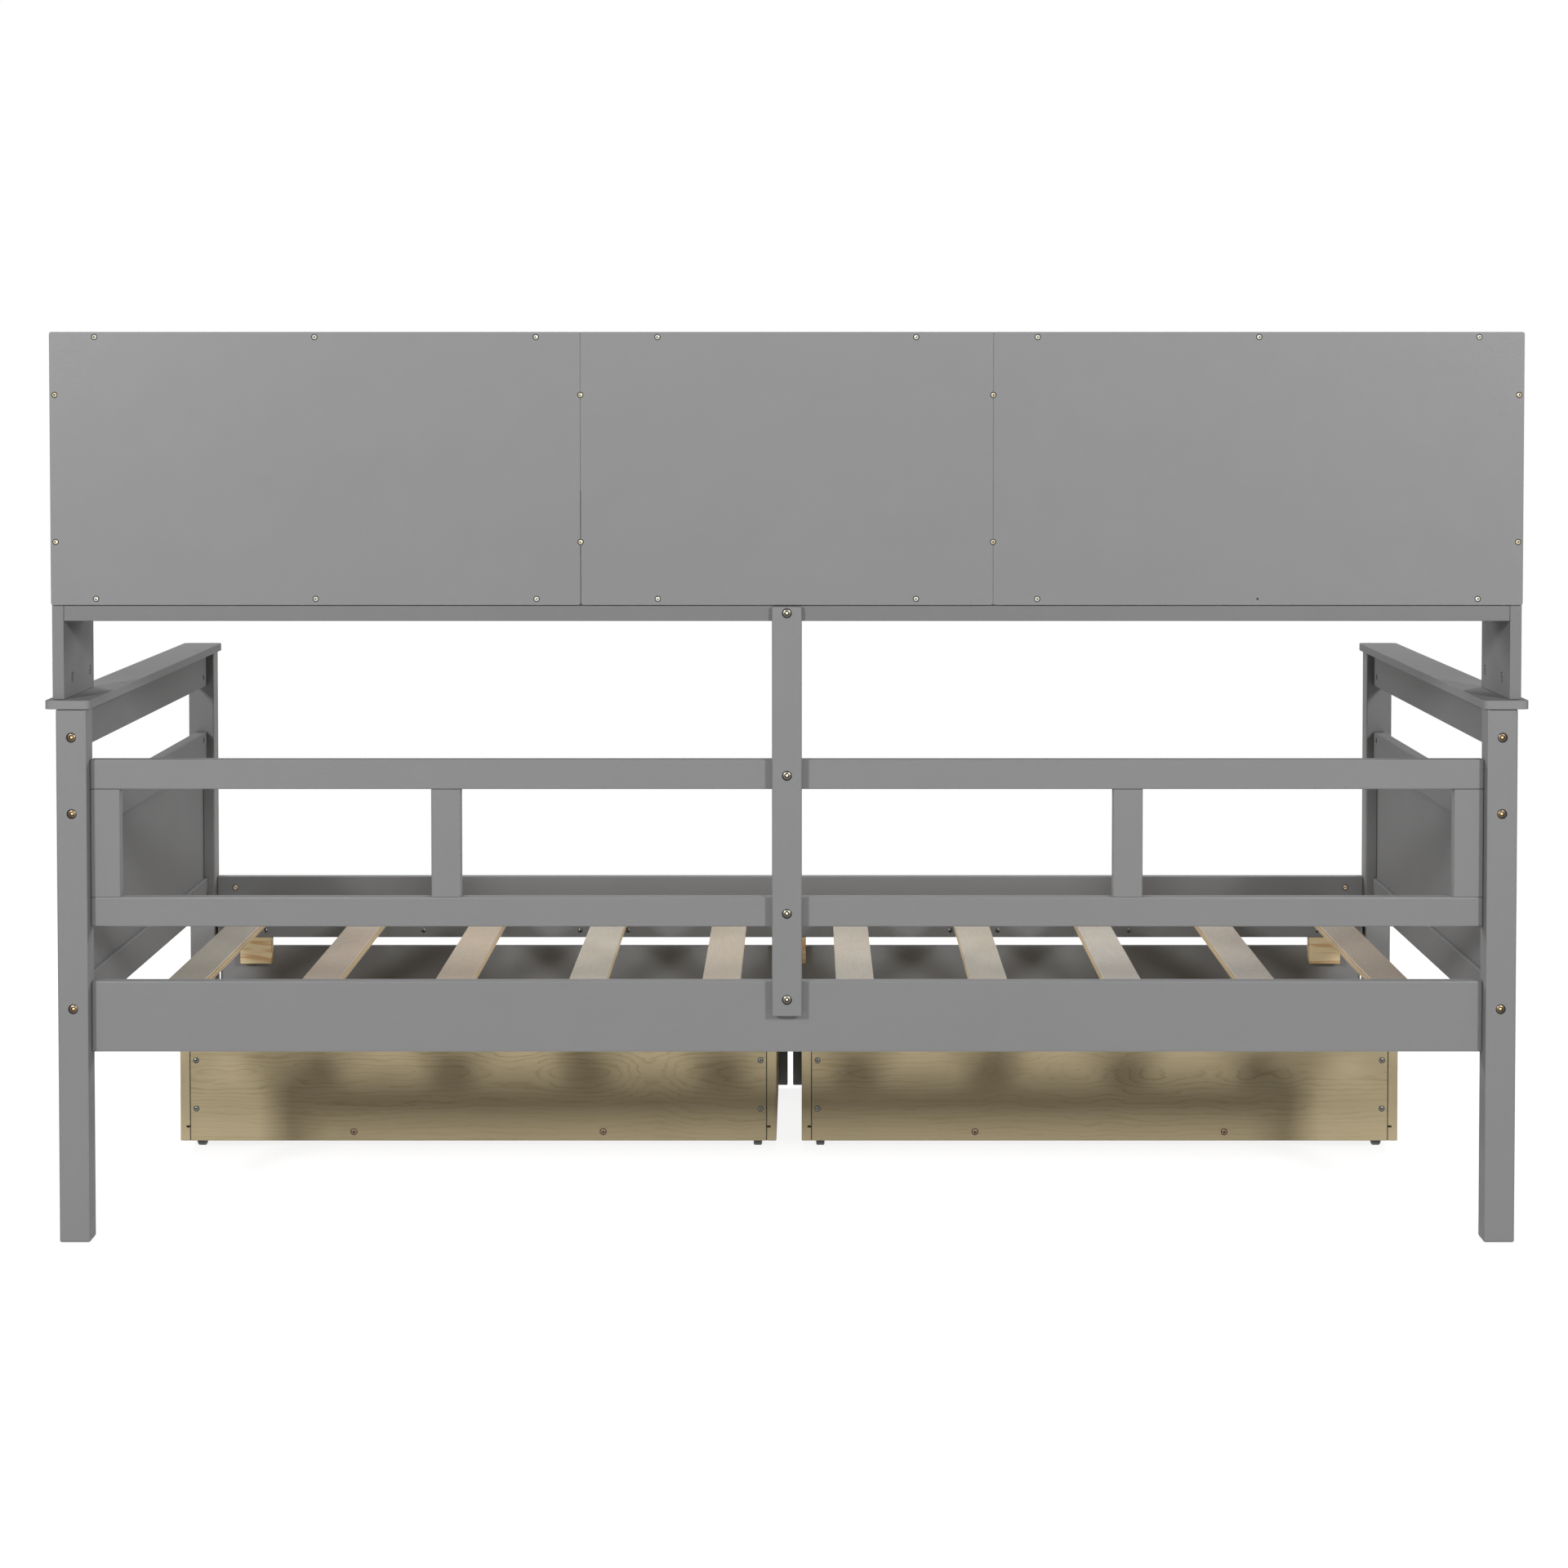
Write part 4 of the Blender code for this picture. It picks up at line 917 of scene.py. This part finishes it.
def addCasters(body, panelUnder):
    # a stamped fork for each wheel: plate, two cheeks and a riveted axle
    shape = bmesh.new()
    across, up = Vector((0, 1, 0)), Vector((0, 0, 1))
    plateLow = panelUnder - caster["plateThick"]
    halfWidth, halfLength = caster["plateWidth"] / 2, caster["plateLength"] / 2
    keys = ("cheekHalf", "cheekWaist", "cheekRadius", "cheekSteps")
    half, waist, radius, steps = (caster[key] for key in keys)
    first, last = caster["cheekArc"]
    arc = [math.pi * (first + (last - first) * step / steps) for step in range(steps + 1)]
    foot = [(radius * math.cos(angle), radius * math.sin(angle)) for angle in arc]
    rivet = turned(*((caster["rivetRadius"] * part, height) for part, height in caster["rivet"]))
    reach = caster["axleReach"]
    axle = turned((caster["axleRadius"], -reach), (caster["axleRadius"], reach))
    for end in ("front", "rear"):
        for lane in ("inner", "outer"):
            low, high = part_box("%s_wheel_%s_%s" % (body, end, lane))
            centre = (low + high) / 2
            addBoard(shape, (centre.x - halfWidth, centre.y - halfLength, plateLow),
                     (centre.x + halfWidth, centre.y + halfLength, panelUnder - drawer["stackGap"]),
                     caster["plateRounding"], 2)
            rise = plateLow - centre.z + caster["cheekLap"]
            drop = rise - caster["cheekDrop"]
            outline = [(half, rise), (-half, rise), (-waist, drop), *foot, (waist, drop)]
            for sign in (-1, 1):
                cheek = centre + Vector((sign * caster["cheekMiddle"], 0, 0))
                addOutline(shape, outline, caster["cheekThick"], cheek, across, up)
                addRings(shape, rivet, centre + Vector((sign * reach, 0, 0)), (sign, 0, 0), 0,
                         caster["steps"])
            addRings(shape, axle, centre, (1, 0, 0), 0, caster["steps"])
    return addPiece(body + "CasterForks", shape, "fork", body)


def addDrawerBottom(body):
    node = body + "_bottom"
    low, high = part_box(node)
    under = high.z - drawer["panelThick"]
    shape = bmesh.new()
    addBoard(shape, (low.x, low.y, under), high, drawer["panelRounding"], 1)
    panel = addPiece(body + "BottomPanel", shape, "hardboard", body)
    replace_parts(panel, node)
    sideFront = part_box(body + "_side_inner")[0].y
    backLow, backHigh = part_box(body + "_back")
    middle = (backLow.x + backHigh.x) / 2
    half, gap = drawer["battenWidth"] / 2, drawer["battenGap"]
    battens = [middle + step * drawer["battenSpacing"] for step in (-0.5, 0.5)]
    for number, x in enumerate(battens):
        shape = bmesh.new()
        addBoard(shape, (x - half, sideFront + gap, under - drawer["battenHeight"]),
                 (x + half, backLow.y - gap, under - drawer["stackGap"]),
                 drawer["battenRounding"], 2)
        batten = addPiece("%sBatten%d" % (body, number + 1), shape, "batten", body)
        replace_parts(batten, node)
    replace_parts(addCasters(body, under), node)
    inset = drawer["screwInset"]
    ends = [(x, backHigh.y, z) for z in drawer["screwHeights"]
            for x in (backLow.x + inset, backHigh.x - inset)]
    feet = [(x, backHigh.y, drawer["battenScrewHeight"]) for x in battens]
    scatterScrews(body + "BackScrews", ends, (0, 1, 0), drawer["screw"], "darkScrew", 19, body)
    scatterScrews(body + "BattenScrews", feet, (0, 1, 0), drawer["battenScrew"], "brownScrew",
                  23, body)


addGuard()
addFrontCleat()
addSlatScrews()
print("guard, cleats and stop blocks built")
addBolts()
addBarrelNuts()
addArmJointShadows()
addBackScrews()
addBackSeams()
addHutchFittings()
print("bolts, nuts, screws and cams in place")
for body in ("drawer_left", "drawer_right"):
    addDrawerFront(body)
    addDrawerBottom(body)
print("drawers finished")


room = {  # watts and metres; lamps in pairs mirror each other in X
    "keyPower": 277.0, "keySize": (0.55, 1.15),
    "keyPlace": (3.42, 7.0, 3.04), "keyAim": (0.0, 0.3, 0.5),
    "keyBalance": (1.01, 0.97),  # left and right as seen from the camera
    "frontPower": 125.0, "frontSize": (1.2, 1.2),
    "frontPlace": (3.7, -3.4, 2.3), "frontAim": (0.0, -0.3, 0.5),
    "middlePower": 42.0, "middleSize": 1.3,
    "middlePlace": (0.0, 8.5, 2.98), "middleAim": (0.0, 0.0, 0.4),
    "overheadPower": 30.0, "overheadSize": (2.6, 1.2),
    "overheadPlace": (0.0, -1.2, 3.2), "overheadAim": (0.0, 0.0, 0.3),
    "fill": 0.015,  # how bright the room is for the object
}


def addLamp(name, power, size, place, aim):
    lamp = bpy.data.lights.new(name, "AREA")
    lamp.energy = power
    if isinstance(size, tuple):  # width and height, or the width of a round lamp
        lamp.shape = "RECTANGLE"
        lamp.size, lamp.size_y = size
    else:
        lamp.shape = "DISK"
        lamp.size = size
    holder = addThing(name, lamp)
    holder.location = place
    holder.rotation_euler = (Vector(aim) - Vector(place)).to_track_quat("-Z", "Y").to_euler()
    holder.visible_camera = False


def addRoom():
    for end in ("key", "front"):  # a pair behind the daybed and a weaker pair before it
        x, y, z = room[end + "Place"]
        for name, side, balance in zip(("Left", "Right"), (1, -1), room["keyBalance"]):
            addLamp(end + name, room[end + "Power"] * balance, room[end + "Size"], (side * x, y, z),
                    room[end + "Aim"])
    for name in ("middle", "overhead"):
        addLamp(name, *(room[name + part] for part in ("Power", "Size", "Place", "Aim")))
    world = bpy.data.worlds.new("whiteStudio")
    bpy.context.scene.world = world
    world.use_nodes = True
    air = Recipe(world.node_tree)
    background = world.node_tree.nodes["Background"]
    background.inputs["Color"].default_value = (1, 1, 1, 1)
    strength = room["fill"] + air.seen() * (1 - room["fill"])
    world.node_tree.links.new(strength.socket, background.inputs["Strength"])


ground = {
    "size": 16.0, "drop": 0.0003, "diffuse": 0.27, "glow": 0.865,
    "bounce": 0.60,  # how much light it throws back at the object
    "near": 1.5, "far": 3.2, "squash": 0.55,  # where it fades to white; the patch is longer along X
    "speckSize": 0.02, "speck": 0.02,
}


def addFloor():
    shape = bmesh.new()
    bmesh.ops.create_grid(shape, x_segments=4, y_segments=4, size=ground["size"] / 2,
                          matrix=Matrix.Translation((0, 0, -ground["drop"])))
    floor = addThing("floor", meshOf("floor", shape))
    material = bpy.data.materials.new("paleFloor")
    material.use_nodes = True
    tree = material.node_tree
    tree.nodes.clear()
    paper = Recipe(tree)
    # near the object the floor takes its shadow, further off it fades into the white backdrop
    x, y, _ = paper.axes(paper.place())
    away = paper.maths("SQRT", x * x * ground["squash"] + y * y)
    fade = paper.spread(away, ground["near"], ground["far"], smooth=True)
    seen = paper.seen()
    speck = paper.noise(ground["speckSize"], 3.0) * ground["speck"]
    tone = seen * (ground["diffuse"] - ground["bounce"]) + ground["bounce"] + speck
    shaded = paper.node("ShaderNodeBsdfDiffuse", inputs={
        "Color": paper.node("ShaderNodeCombineColor", inputs={0: tone, 1: tone, 2: tone})})
    glow = paper.node("ShaderNodeEmission", inputs={"Strength": seen * ground["glow"]})
    white = paper.node("ShaderNodeEmission", inputs={"Strength": seen * 1.0})
    lit = paper.node("ShaderNodeAddShader", inputs={0: shaded, 1: glow})
    whole = paper.node("ShaderNodeMixShader", inputs={0: fade * seen, 1: lit, 2: white})
    output = tree.nodes.new("ShaderNodeOutputMaterial")
    tree.links.new(whole.socket, output.inputs["Surface"])
    floor.data.materials.append(material)


view = {  # behind the daybed, looking along -Y; tilt in degrees
    "place": (-0.0258, 5.2960, 1.1755), "tilt": 2.130, "lens": 79.940, "shift": (-0.01385, -0.17),
}


def addCamera():
    camera = addThing("camera", bpy.data.cameras.new("camera"))
    camera.data.lens = view["lens"]
    camera.data.shift_x, camera.data.shift_y = view["shift"]
    camera.location = view["place"]
    camera.rotation_euler = (math.radians(90 - view["tilt"]), 0, math.radians(180))
    bpy.context.scene.camera = camera


addRoom()
addFloor()
addCamera()
bpy.context.scene.view_settings.view_transform = "Standard"
print("room, floor and camera set")
